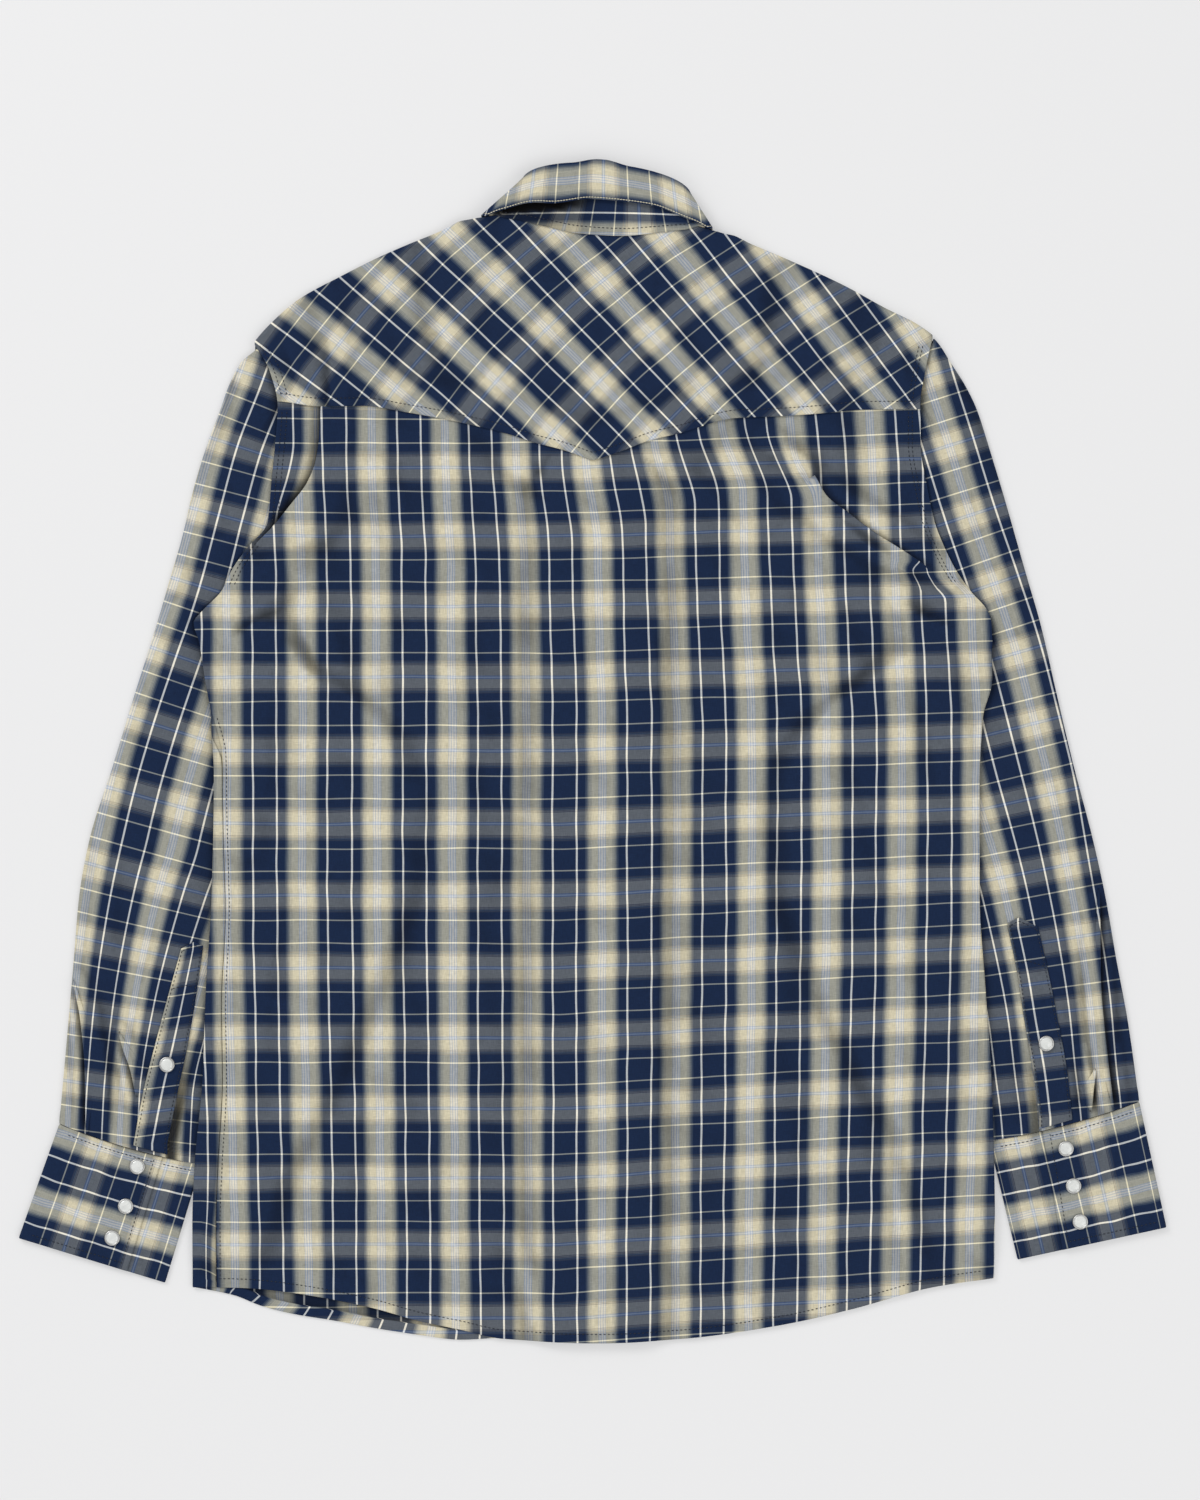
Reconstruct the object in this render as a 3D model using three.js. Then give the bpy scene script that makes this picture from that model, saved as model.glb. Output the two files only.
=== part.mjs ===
import * as THREE from 'three';

// Western snap shirt laid flat with its back up. Millimetres, +Z up from the surface it lies on,
// collar towards +Y, the wearer's left side towards -X. The origin is under the middle of its box.

// Cloth and the levels of its layers, each measured to the middle of the cloth
const wall = 1.0;
const seamGap = 0.3;
const layer = wall + seamGap;
const floorLevel = wall / 2;
const frontLevel = floorLevel;
const backLevel = 2.4;
const sleeveUnder = floorLevel;
const sleeveOver = floorLevel + layer;
const sideLift = 3.0;
const armholeLift = 1.4;
const bandLift = 2.3;
const innerFrontLift = bandLift + layer;
const collarLift = 1.4;
const neckLift = 3.6;

// Centre line of the fronts and the band sewn down it
const centreX = 3;
const bandWidth = 36;
const bandHalf = bandWidth / 2;

// Sides of the body, a row for each height: armhole edges above the underarm, side folds below it
const bodySides = [
  { y: 292, left: -241.0, right: 238.6 },
  { y: 286, left: -237.4, right: 237.0 },
  { y: 266, left: -225.8, right: 232.7 },
  { y: 242, left: -220.2, right: 229.0 },
  { y: 214, left: -222.0, right: 229.0 },
  { y: 188, left: -224.6, right: 233.0 },
  { y: 160, left: -227.2, right: 239.0 },
  { y: 142, left: -241.5, right: 246.0 },
  { y: 128, left: -251.5, right: 253.0 },
  { y: 112, left: -259.5, right: 264.0 },
  { y: 98, left: -273.0, right: 276.0 },
  { y: 90, left: -279.0, right: 278.5 },
  { y: 76, left: -275.0, right: 279.0 },
  { y: 50, left: -271.0, right: 279.6 },
  { y: 24, left: -266.8, right: 273.2 },
  { y: -22, left: -265.0, right: 270.8 },
  { y: -100, left: -266.5, right: 270.8 },
  { y: -167, left: -270.6, right: 275.0 },
  { y: -230, left: -273.0, right: 279.2 },
  { y: -290, left: -278.5, right: 281.0 },
  { y: -330, left: -280.0, right: 281.5 },
  { y: -376, left: -280.0, right: 281.0 },
];

// Hems: the front shows below the back at the wearer's left
const hems = [
  { x: -281, back: -375.0, front: -374.5 },
  { x: -251, back: -375.3, front: -380.6 },
  { x: -232, back: -376.3, front: -388.0 },
  { x: -208, back: -379.2, front: -394.0 },
  { x: -182, back: -383.6, front: -398.2 },
  { x: -152, back: -390.0, front: -403.7 },
  { x: -122, back: -398.5, front: -408.3 },
  { x: -92, back: -404.8, front: -411.8 },
  { x: -63, back: -411.0, front: -410.4 },
  { x: 4, back: -413.9, front: -409.5 },
  { x: 63, back: -411.0, front: -406.8 },
  { x: 127, back: -402.3, front: -398.3 },
  { x: 180, back: -390.7, front: -386.7 },
  { x: 238, back: -375.0, front: -371.0 },
  { x: 282, back: -368.4, front: -364.4 },
];

// Pointed lower edge of the yoke, by distance out from its point
const yokePoint = [
  { out: 0, left: 203.1, right: 203.1 },
  { out: 20, left: 210.3, right: 209.6 },
  { out: 40, left: 215.5, right: 217.2 },
  { out: 60, left: 222.0, right: 222.0 },
  { out: 100, left: 231.5, right: 233.0 },
  { out: 130, left: 237.0, right: 234.2 },
  { out: 160, left: 241.4, right: 236.3 },
  { out: 190, left: 241.0, right: 238.9 },
  { out: 222, left: 244.5, right: 239.0 },
  { out: 260, left: 244.5, right: 239.0 },
];

// Upper edge of the yoke: shoulder fold, neck seam, shoulder fold
const yokeTop = [
  { x: -242, y: 280.0 },
  { x: -237.4, y: 285.5 },
  { x: -226, y: 298.4 },
  { x: -205, y: 316.6 },
  { x: -177, y: 332.0 },
  { x: -146, y: 347.4 },
  { x: -114, y: 360.7 },
  { x: -80, y: 372.6 },
  { x: -60, y: 374.5 },
  { x: -36, y: 369.8 },
  { x: -8, y: 364.0 },
  { x: 20, y: 362.5 },
  { x: 50, y: 365.2 },
  { x: 68, y: 367.0 },
  { x: 84, y: 363.8 },
  { x: 114, y: 353.5 },
  { x: 146, y: 340.0 },
  { x: 177, y: 325.5 },
  { x: 205, y: 310.0 },
  { x: 226, y: 299.5 },
  { x: 239, y: 290.5 },
];

// Outer fold of each sleeve
const sleeveOuter = [
  { y: 290, left: -231.0, right: 238.0 },
  { y: 284, left: -233.0, right: 243.0 },
  { y: 272, left: -246.0, right: 250.5 },
  { y: 256, left: -254.6, right: 260.8 },
  { y: 240, left: -260.2, right: 268.6 },
  { y: 211, left: -271.0, right: 278.0 },
  { y: 181, left: -279.8, right: 287.0 },
  { y: 151, left: -286.7, right: 295.5 },
  { y: 120, left: -295.8, right: 304.5 },
  { y: 91, left: -304.4, right: 313.0 },
  { y: 36, left: -321.7, right: 325.8 },
  { y: -8, left: -335.1, right: 336.2 },
  { y: -63, left: -352.4, right: 350.5 },
  { y: -103, left: -359.5, right: 359.2 },
  { y: -145, left: -363.0, right: 366.5 },
  { y: -190, left: -366.9, right: 374.8 },
  { y: -245, left: -371.8, right: 382.5 },
  { y: -261, left: -373.2, right: 384.6 },
];

// Inner fold of each sleeve: along the armhole to the underarm, then under the body
const sleeveInner = [
  { y: 146, left: -231.0, right: 238.0 },
  { y: 128, left: -243.5, right: 246.0 },
  { y: 112, left: -254.5, right: 259.0 },
  { y: 104, left: -262.0, right: 267.0 },
  { y: 96, left: -270.5, right: 273.0 },
  { y: 88, left: -275.0, right: 275.5 },
  { y: 80, left: -273.8, right: 275.5 },
  { y: 72, left: -270.0, right: 273.5 },
  { y: 62, left: -262.0, right: 266.0 },
  { y: 50, left: -247.0, right: 252.0 },
  { y: 30, left: -220.0, right: 226.0 },
  { y: 5, left: -198.0, right: 204.0 },
  { y: -34, left: -185.0, right: 191.0 },
  { y: -90, left: -189.0, right: 195.0 },
  { y: -146, left: -208.0, right: 213.0 },
  { y: -202, left: -231.0, right: 237.0 },
  { y: -250, left: -253.5, right: 263.0 },
  { y: -273, left: -265.0, right: 277.5 },
  { y: -290, left: -274.1, right: 281.3 },
  { y: -372, left: -299.0, right: 302.0 },
];

// How far a sleeve's sewn end reaches in under the body's armhole edge
const sewnEnd = 8;

// Sections of a sleeve, armhole to cuff: how far down its outer and inner folds each one stands
const sleeveSections = [
  { outer: 0, inner: 0, bow: 1 },
  { outer: 0.045, inner: 0.04, bow: 0.85 },
  { outer: 0.09, inner: 0.078, bow: 0.6 },
  { outer: 0.135, inner: 0.105, bow: 0.35 },
  { outer: 0.18, inner: 0.13, bow: 0.16 },
  { outer: 0.22, inner: 0.155, bow: 0.05 },
  { outer: 0.255, inner: 0.18, bow: 0 },
  { outer: 0.29, inner: 0.205, bow: 0 },
  { outer: 0.325, inner: 0.235, bow: 0 },
  { outer: 0.37, inner: 0.28, bow: 0 },
  { outer: 0.42, inner: 0.345, bow: 0 },
  { outer: 0.48, inner: 0.425, bow: 0 },
  { outer: 0.55, inner: 0.51, bow: 0 },
  { outer: 0.62, inner: 0.6, bow: 0 },
  { outer: 0.69, inner: 0.68, bow: 0 },
  { outer: 0.76, inner: 0.76, bow: 0 },
  { outer: 0.82, inner: 0.82, bow: 0 },
  { outer: 0.88, inner: 0.88, bow: 0 },
  { outer: 0.94, inner: 0.94, bow: 0 },
  { outer: 1, inner: 1, bow: 0 },
];

// Each side: its sign along X, its underarm and shoulder tip, its cuff's corners and its fastenings
const left = {
  name: 'left',
  sign: -1,
  tipY: 284,
  splitY: 146,
  underarmY: 91,
  cuff: {
    outerTop: [-373.2, -260.9],
    innerTop: [-274.1, -289.6],
    outerEnd: [-401.5, -340.5],
    innerEnd: [-299.1, -371.8],
    topBow: -2.6,
    slitTop: 0.73,
    slitEnd: 0.74,
    snaps: [[-318.4, -290.4], [-326.5, -318.1], [-335.9, -340.3]],
  },
  placket: {
    tip: [-280.1, -133.5],
    snap: [-297.5, -219.0],
    rows: [
      { y: -138, out: -287.7, in: -272.5 },
      { y: -172, out: -297.0, in: -277.4 },
      { y: -205, out: -305.8, in: -283.0 },
      { y: -238, out: -314.0, in: -290.0 },
      { y: -274, out: -320.8, in: -297.2 },
    ],
  },
};
const right = {
  name: 'right',
  sign: 1,
  tipY: 289,
  splitY: 146,
  underarmY: 95,
  cuff: {
    outerTop: [382.5, -245.3],
    innerTop: [277.5, -273.0],
    outerEnd: [401.5, -333.0],
    innerEnd: [297.4, -355.6],
    topBow: -2.6,
    slitTop: 0.645,
    slitEnd: 0.7,
    snaps: [[331.0, -277.9], [336.3, -303.9], [341.0, -329.0]],
  },
  placket: {
    tip: [297.0, -116.5],
    snap: [317.1, -204.2],
    rows: [
      { y: -123, out: 311.5, in: 290.2 },
      { y: -157, out: 319.0, in: 297.2 },
      { y: -187, out: 325.0, in: 301.6 },
      { y: -227, out: 332.2, in: 308.4 },
      { y: -256, out: 335.2, in: 312.2 },
    ],
  },
};

// Folds at sleeve ends: gathers that stand up where the sleeve is pleated into its cuff
const sleeveFolds = [
  { sign: -1, x0: -361, y0: -160, x1: -355, y1: -262, rise: 1.6, reach: 9 },
  { sign: -1, x0: -331, y0: -196, x1: -322, y1: -244, rise: 1.3, reach: 7 },
  { sign: 1, x0: 354, y0: -100, x1: 362, y1: -248, rise: 1.6, reach: 9 },
  { sign: 1, x0: 342, y0: -208, x1: 347, y1: -252, rise: 1.3, reach: 7 },
];

// Folds of the back, from end to end, with the height and half width of each
const backFolds = [
  { x0: 122, y0: 219, x1: 158, y1: 184, rise: 1.5, reach: 12 },
  { x0: 158, y0: 184, x1: 246, y1: 124, rise: 2.2, reach: 16 },
  { x0: 236, y0: 60, x1: 254, y1: -20, rise: 1.2, reach: 20 },
  { x0: -236, y0: 70, x1: -246, y1: -60, rise: 1.0, reach: 20 },
  { x0: -120, y0: 150, x1: -96, y1: -260, rise: 1.1, reach: 34 },
  { x0: 92, y0: 90, x1: 112, y1: -300, rise: 1.0, reach: 36 },
];

// Fold at the wearer's left armhole: the back laps over a low strip beside the armhole
const lapFold = { rise: 2.4, fade: 60 };
const lapLine = [
  { y: 246, x: -189.4 },
  { y: 218, x: -191.0 },
  { y: 204, x: -193.0 },
  { y: 183, x: -202.2 },
  { y: 168, x: -213.0 },
  { y: 155, x: -226.0 },
  { y: 140, x: -243.0 },
];

// Collar loops, each an ellipse half on the back and half on the fronts, around the neck
const collar = {
  seam: { x: centreX, half: 76, y: 371.6, tilt: -4.3, back: -8, front: 80 },
  standTop: { x: 8, half: 60.5, y: 388.4, tilt: -4.7, back: 10, front: 68 },
  fold: { x: 9.7, half: 57, y: 396.4, tilt: -4.9, back: 16.4, front: 72 },
  edge: { x: 3.1, half: 80.9, y: 369.2, tilt: -4.5, back: 18.3, front: 141 },
};
const sideTurn = 0.2;
const leafEndEdge = 148;
const leafEdgeBack = 11.0;
const leafTurn = 1.0;
const leafWiden = 1.6;
const leafGap = 1.3;
const leafDip = 3.2;
const standOverlap = 3;
const standBack = 7.6;

// Snaps: pearl cap in a metal ring
const snapRadius = 5.5;
const snapHeight = 2.0;
const snapSides = 12;
const frontSnapCount = 6;
const frontSnapTop = 268;
const frontSnapPitch = 98;

const mix = (a, b, t) => a + (b - a) * t;
const clamp01 = (t) => Math.min(1, Math.max(0, t));

// 0 before a, 1 past b, smooth between
function step(a, b, value) {
  const t = clamp01((value - a) / (b - a));
  return t * t * (3 - 2 * t);
}

// A column read between the rows of a table, smooth and without overshoot
function along(table, by, at, key) {
  const down = table[0][by] > table[table.length - 1][by];
  const place = (row) => (down ? -row[by] : row[by]);
  const target = down ? -at : at;
  const last = table.length - 1;
  let k = 0;
  while (k < last - 1 && place(table[k + 1]) < target) k += 1;
  const slope = (n) => {
    if (n < 0 || n >= last) return null;
    return (table[n + 1][key] - table[n][key]) / (place(table[n + 1]) - place(table[n]));
  };
  const tangent = (n) => {
    const before = slope(n - 1) ?? slope(n);
    const after = slope(n) ?? slope(n - 1);
    return before * after <= 0 ? 0 : (2 * before * after) / (before + after);
  };
  const span = place(table[k + 1]) - place(table[k]);
  const t = clamp01((target - place(table[k])) / span);
  const t2 = t * t;
  const t3 = t2 * t;
  return (2 * t3 - 3 * t2 + 1) * table[k][key]
    + (t3 - 2 * t2 + t) * span * tangent(k)
    + (3 * t2 - 2 * t3) * table[k + 1][key]
    + (t3 - t2) * span * tangent(k + 1);
}

const sideX = (side, y) => along(bodySides, 'y', y, side.name);
const outerX = (side, y) => along(sleeveOuter, 'y', y, side.name);
const innerX = (side, y) => along(sleeveInner, 'y', y, side.name);
const yokeTopY = (x) => along(yokeTop, 'x', x, 'y');
const yokeLowY = (x) => along(yokePoint, 'out', Math.abs(x), x < 0 ? 'left' : 'right');
const hemY = (x, panel) => along(hems, 'x', x, panel);

// Height of a soft fold that runs from one end of its row to the other
function foldHeight(fold, x, y) {
  const dx = fold.x1 - fold.x0;
  const dy = fold.y1 - fold.y0;
  const t = clamp01(((x - fold.x0) * dx + (y - fold.y0) * dy) / (dx * dx + dy * dy));
  const away = Math.hypot(x - fold.x0 - t * dx, y - fold.y0 - t * dy);
  return fold.rise * step(fold.reach, 0, away);
}

// How far the sleeve and cuff underneath lift the body: 1 over them, 0 clear of them
function overSleeve(side, x, y, margin) {
  const past = side.sign * (innerX(side, y) - x);
  const passing = step(side.underarmY + 9, side.underarmY - 13, y);
  return step(margin + 32, margin, past) * passing * step(-376, -326, y);
}

// How far the sleeve's sewn end lifts the back and yoke beside an armhole
function besideArmhole(side, x, y) {
  const inward = side.sign * (sideX(side, y) - x);
  return step(56, 20, inward) * step(54, 74, y);
}

const onBand = (x, spread) => step(spread + 28, spread, Math.abs(x - centreX));

// 1 over the collar's front half, 0 clear of it
function onCollar(x, y) {
  const reach = Math.hypot((x - centreX) / 101, (368 - y) / (y < 368 ? 159 : 200));
  return step(1.3, 1.0, reach);
}

function outerFrontZ(x, y) {
  const lifts = [
    sideLift * overSleeve(left, x, y, 20),
    sideLift * overSleeve(right, x, y, 20),
    bandLift * onBand(x, 20),
    collarLift * onCollar(x, y),
  ];
  return frontLevel + Math.max(...lifts);
}

function innerFrontZ(x, y) {
  const overlap = innerFrontLift * (x < centreX ? 1 : onBand(x, 20));
  return Math.max(outerFrontZ(x, y), frontLevel + overlap);
}

// Middle of the back's cloth without its own folds
function backBaseZ(x, y) {
  const lifts = [
    sideLift * overSleeve(left, x, y, 40),
    sideLift * overSleeve(right, x, y, 40),
    sideLift * besideArmhole(left, x, y),
    sideLift * besideArmhole(right, x, y),
    innerFrontLift * onBand(x, 26),
    neckLift * onCollar(x, y),
  ];
  return backLevel + Math.max(...lifts);
}

function lapHeight(x, y) {
  const lip = along(lapLine, 'y', y, 'x');
  const past = x - lip;
  const near = step(0, 3, past) * step(lapFold.fade, 0, past);
  return lapFold.rise * near * step(136, 156, y);
}

const backFoldHeight = (x, y) => Math.max(...backFolds.map((fold) => foldHeight(fold, x, y)));
const backZ = (x, y) => backBaseZ(x, y) + backFoldHeight(x, y) + lapHeight(x, y);

function yokeZ(x, y) {
  const lip = (layer + 0.2) * step(30, 12, y - yokeLowY(x));
  const valley = 1.4 * step(26, 0, Math.abs(x + 196)) * step(236, 252, y) * step(292, 262, y);
  const lap = lapHeight(x, yokeLowY(x)) * step(60, 6, y - yokeLowY(x));
  return backBaseZ(x, y) + backFoldHeight(x, y) + lip + lap + valley;
}

// Crown and folds of a sleeve's upper layer where it shows beside the body
function sleeveRise(side, x, y) {
  const inward = side.sign * (outerX(side, y) - x);
  const shown = Math.max(6, side.sign * (outerX(side, y) - sideX(side, y)));
  const crown = Math.min(2.6, shown * 0.05) * Math.sin(Math.PI * clamp01(inward / shown));
  const own = sleeveFolds.filter((fold) => fold.sign === side.sign);
  const folds = own.map((fold) => foldHeight(fold, x, y));
  return 0.7 * step(shown, shown * 0.6, inward) + crown + Math.max(...folds);
}

const armholeRaise = (side, x, y) => {
  const outward = side.sign * (x - sideX(side, y));
  return armholeLift * step(32, 14, outward) * step(side.underarmY - 16, side.underarmY + 6, y);
};
const sleeveUnderZ = (side, x, y) => sleeveUnder + armholeRaise(side, x, y);
const sleeveOverZ = (side, x, y) => sleeveOver + armholeRaise(side, x, y) + sleeveRise(side, x, y);

// Solid from a closed skin: its faces are turned outwards if its volume comes out negative
function solid(points, faces) {
  let volume = 0;
  for (const [a, b, c] of faces) {
    volume += points[a].dot(new THREE.Vector3().crossVectors(points[b], points[c]));
  }
  const index = faces.flatMap(([a, b, c]) => (volume < 0 ? [a, c, b] : [a, b, c]));
  const geometry = new THREE.BufferGeometry();
  geometry.setAttribute('position', new THREE.Float32BufferAttribute(
    points.flatMap((p) => [p.x, p.y, p.z]),
    3,
  ));
  geometry.setIndex(index);
  geometry.computeVertexNormals();
  return geometry;
}

// Normal of a grid of points at one of them
function gridNormal(grid, j, i, closed) {
  const count = grid[j].length;
  const before = closed ? (i + count - 1) % count : Math.max(0, i - 1);
  const after = closed ? (i + 1) % count : Math.min(count - 1, i + 1);
  const across = grid[j][after].clone().sub(grid[j][before]);
  const down = grid[Math.min(grid.length - 1, j + 1)][i].clone().sub(grid[Math.max(0, j - 1)][i]);
  return across.cross(down).normalize();
}

// Cloth of one thickness on both sides of a grid of points: a sheet, or a tube if it is closed
function cloth(grid, closed = false) {
  const rows = grid.length;
  const columns = grid[0].length;
  const points = [];
  for (const side of [0.5, -0.5]) {
    for (let j = 0; j < rows; j += 1) {
      for (let i = 0; i < columns; i += 1) {
        const normal = gridNormal(grid, j, i, closed);
        points.push(grid[j][i].clone().addScaledVector(normal, side * wall));
      }
    }
  }
  const at = (skin, j, i) => skin * rows * columns + j * columns + (i % columns);
  const faces = [];
  const quad = (a, b, c, d) => faces.push([a, b, c], [a, c, d]);
  const spans = closed ? columns : columns - 1;
  for (let j = 0; j < rows - 1; j += 1) {
    for (let i = 0; i < spans; i += 1) {
      quad(at(0, j, i), at(0, j + 1, i), at(0, j + 1, i + 1), at(0, j, i + 1));
      quad(at(1, j, i), at(1, j, i + 1), at(1, j + 1, i + 1), at(1, j + 1, i));
    }
    if (!closed) {
      quad(at(0, j, 0), at(1, j, 0), at(1, j + 1, 0), at(0, j + 1, 0));
      const end = columns - 1;
      quad(at(0, j, end), at(0, j + 1, end), at(1, j + 1, end), at(1, j, end));
    }
  }
  for (let i = 0; i < spans; i += 1) {
    quad(at(0, 0, i), at(0, 0, i + 1), at(1, 0, i + 1), at(1, 0, i));
    const end = rows - 1;
    quad(at(0, end, i), at(1, end, i), at(1, end, i + 1), at(0, end, i + 1));
  }
  return solid(points, faces);
}

// Cloth turned over at an edge: distance in from the edge and height, for k from 0 to 1
function turnOver(from, to, amount, reach, k) {
  const radius = Math.abs(from - to) / 2;
  const way = Math.sign(to - from);
  const arc = Math.min(1, k / 0.6);
  const angle = Math.PI * amount * arc;
  const strip = Math.max(0, (k - 0.6) / 0.4) * reach * amount;
  const start = (wall / 2 + radius) * amount;
  return {
    inward: start - radius * Math.sin(angle) + strip * Math.max(0, -Math.cos(angle)),
    z: from + way * radius * (1 - Math.cos(angle)),
  };
}

// Settles x and y where a column's x depends on y and a row's y depends on x
function settle(xOf, yOf, startY) {
  let y = startY;
  let x = xOf(y);
  for (let n = 0; n < 8; n += 1) {
    y = mix(y, yOf(x), 0.8);
    x = xOf(y);
  }
  return { x, y };
}

const even = (count) => Array.from({ length: count + 1 }, (_, n) => n / count);
const bodyColumns = [
  0, 0.025, 0.055, 0.075, 0.085, 0.12, 0.17, 0.22, 0.27, 0.32, 0.37, 0.42, 0.46, 0.5,
  0.54, 0.58, 0.63, 0.68, 0.73, 0.78, 0.83, 0.88, 0.93, 0.965, 1,
];
const turnSteps = [0.2, 0.4, 0.6, 1];

// Side strip: how far the front turns over the wearer's left edge onto the back
const wrapAmount = (y) => step(30, -10, y);
const wrapWidth = (y) => 16.5 - 5.5 * step(-300, -150, y) - 5.0 * step(-150, -20, y);
const backLeftX = (y) => sideX(left, y) + wrapAmount(y - 7) * (wrapWidth(y) + 2 * seamGap);
const rightTurn = (y) => step(84, 66, y);
const rightStrip = 6;
const sideGap = 2;
const rightRadius = (y) => (backZ(sideX(right, y), y) - outerFrontZ(sideX(right, y), y)) / 2;

function back() {
  const rows = [
    0, 0.02, 0.045, 0.07, 0.095, 0.12, 0.145, 0.17, 0.195, 0.22, 0.25, 0.285, 0.325, 0.37,
    0.42, 0.47, 0.53, 0.59, 0.65, 0.71, 0.77, 0.83, 0.89, 0.95, 1,
  ];
  const grid = rows.map((v) => {
    const yOf = (x) => mix(yokeLowY(x) + 8, hemY(x, 'back'), v);
    const row = bodyColumns.map((u) => {
      const xOf = (y) => {
        const turned = (wall / 2 + rightRadius(y)) * rightTurn(y);
        return mix(backLeftX(y), sideX(right, y) - turned, u);
      };
      const p = settle(xOf, yOf, mix(238, -390, v));
      return new THREE.Vector3(p.x, p.y, backZ(p.x, p.y));
    });
    const edge = row[row.length - 1];
    const x = sideX(right, edge.y);
    for (const k of turnSteps) {
      const turn = turnOver(edge.z, outerFrontZ(x, edge.y), rightTurn(edge.y), rightStrip, k);
      row.push(new THREE.Vector3(x - turn.inward, edge.y, turn.z));
    }
    const spread = 0.05 * (1 - rightTurn(edge.y));
    turnSteps.forEach((k, n) => {
      row[bodyColumns.length + n].x += spread * (n + 1);
    });
    return row;
  });
  return cloth(grid);
}

const shoulderTurn = (x, from = 86) => step(from, from + 26, Math.abs(x - centreX));
const shoulderReach = 12;
const shoulderRadius = (x) => (yokeZ(x, yokeTopY(x)) - outerFrontZ(x, yokeTopY(x))) / 2;

function yoke() {
  const rows = [0, 0.075, 0.23, 0.42, 0.62, 0.82, 1];
  const endY = (x) => yokeTopY(x) - (wall / 2 + shoulderRadius(x)) * shoulderTurn(x);
  const grid = rows.map((v) => bodyColumns.map((u) => {
    const xOf = (y) => mix(sideX(left, y), sideX(right, y), u);
    const yOf = (x) => mix(yokeLowY(x), endY(x), v);
    const p = settle(xOf, yOf, mix(235, 330, v));
    return new THREE.Vector3(p.x, p.y, yokeZ(p.x, p.y));
  }));
  const edge = grid[grid.length - 1];
  turnSteps.forEach((k, n) => {
    grid.push(edge.map((p) => {
      const under = outerFrontZ(p.x, yokeTopY(p.x));
      const amount = shoulderTurn(p.x);
      const turn = turnOver(p.z, under, amount, shoulderReach, k);
      const spread = 0.05 * (1 - amount) * (n + 1);
      return new THREE.Vector3(p.x, yokeTopY(p.x) - turn.inward + spread, turn.z);
    }));
  });
  return cloth(grid);
}

// A collar loop at an angle from the middle of the back, positive to the wearer's right
function loopPoint(loop, degrees) {
  const angle = THREE.MathUtils.degToRad(degrees);
  const sin = Math.sin(angle);
  const cos = Math.cos(angle);
  const down = Math.max(0, -cos - sideTurn) / (1 - sideTurn);
  const depth = cos > 0 ? loop.back * cos : -loop.front * down ** 0.9;
  return { x: loop.x + loop.half * sin, y: loop.y + loop.tilt * sin + depth };
}

// Stations around the neck in degrees, shared by the fronts, stand and leaf so that they match
const neckGap = 0.6;
const neckLine = { ...collar.seam, half: collar.seam.half + neckGap, front: collar.seam.front + neckGap };
const bandAngle = 180 - THREE.MathUtils.radToDeg(Math.asin((bandHalf + seamGap) / neckLine.half));
const frontStations = [90, 96, 102, 110, 122, 136, 151, bandAngle];
const backStations = [84, 78, 70, 60, 46, 31, 16];
const neckAround = [...[...frontStations].reverse(), ...backStations].map((a) => -a);
neckAround.push(0, ...[...backStations].reverse(), ...frontStations);

function frontTopY(x) {
  const turned = wall / 2 + shoulderRadius(x) + shoulderReach;
  return yokeTopY(x) - shoulderTurn(x, 78) * turned - seamGap * 2;
}

// Columns of a front from its side to the neck and down the neckline to the overlap
function frontGrid(side, stations, zOf, edgeX) {
  const rows = [0, 0.035, 0.075, 0.12, 0.165, 0.21, 0.245, 0.265, 0.285, 0.302, 0.33, 0.37, 0.42,
    0.49, 0.57, 0.66, 0.75, 0.84, 0.92, 0.96, 1];
  const outer = [0, 0.14, 0.32, 0.5, 0.65, 0.78, 0.89];
  const neckSide = loopPoint(neckLine, side.sign * 90);
  return rows.map((v) => {
    const row = outer.map((u) => {
      const yOf = (x) => mix(frontTopY(x), hemY(x, 'front'), v);
      const xOf = (y) => mix(edgeX(y), neckSide.x, u);
      const p = settle(xOf, yOf, mix(300, -390, v));
      return new THREE.Vector3(p.x, p.y, zOf(p.x, p.y));
    });
    for (const p of stations) {
      const top = Math.min(p.y - neckGap, frontTopY(p.x));
      const y = mix(top, hemY(p.x, 'front'), v);
      row.push(new THREE.Vector3(p.x, y, zOf(p.x, y)));
    }
    return row;
  });
}

// The front is a little narrower than the back at the underarm, where the sleeve passes it
const underarmInset = (side, y) => 9 * step(150, 116, y) * step(44, 72, y);

function frontLeft() {
  const stations = frontStations.map((a) => loopPoint(neckLine, -a));
  const radiusAt = (y) => {
    const x = sideX(left, y);
    return (backZ(x, y) - outerFrontZ(x, y)) / 2;
  };
  const edgeX = (y) => {
    const turned = (wall / 2 + radiusAt(y)) * wrapAmount(y);
    return sideX(left, y) + turned + underarmInset(left, y) + 0.4;
  };
  const grid = frontGrid(left, stations, outerFrontZ, edgeX);
  for (const row of grid) {
    const edge = row[0];
    const amount = wrapAmount(edge.y);
    const x = sideX(left, edge.y);
    const turned = [...turnSteps].reverse().map((k) => {
      const top = backZ(x + 4, edge.y);
      const reach = wrapWidth(edge.y) - wall / 2 - radiusAt(edge.y);
      const turn = turnOver(edge.z, top, amount, reach, k);
      const spread = 0.05 * (1 - amount) * (turnSteps.indexOf(k) + 1);
      const inset = (1 - amount) * (underarmInset(left, edge.y) + 0.4);
      return new THREE.Vector3(x + turn.inward + inset - spread, edge.y, turn.z);
    });
    row.unshift(...turned);
  }
  return cloth(grid);
}

function frontRight() {
  const stations = [...frontStations, 180, 360 - bandAngle - 1].map((a) => loopPoint(neckLine, a));
  const edgeX = (y) => sideX(right, y) - underarmInset(right, y) - sideGap
    - rightTurn(y) * (rightStrip + wall / 2 + rightRadius(y));
  return cloth(frontGrid(right, stations, innerFrontZ, edgeX));
}

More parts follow.
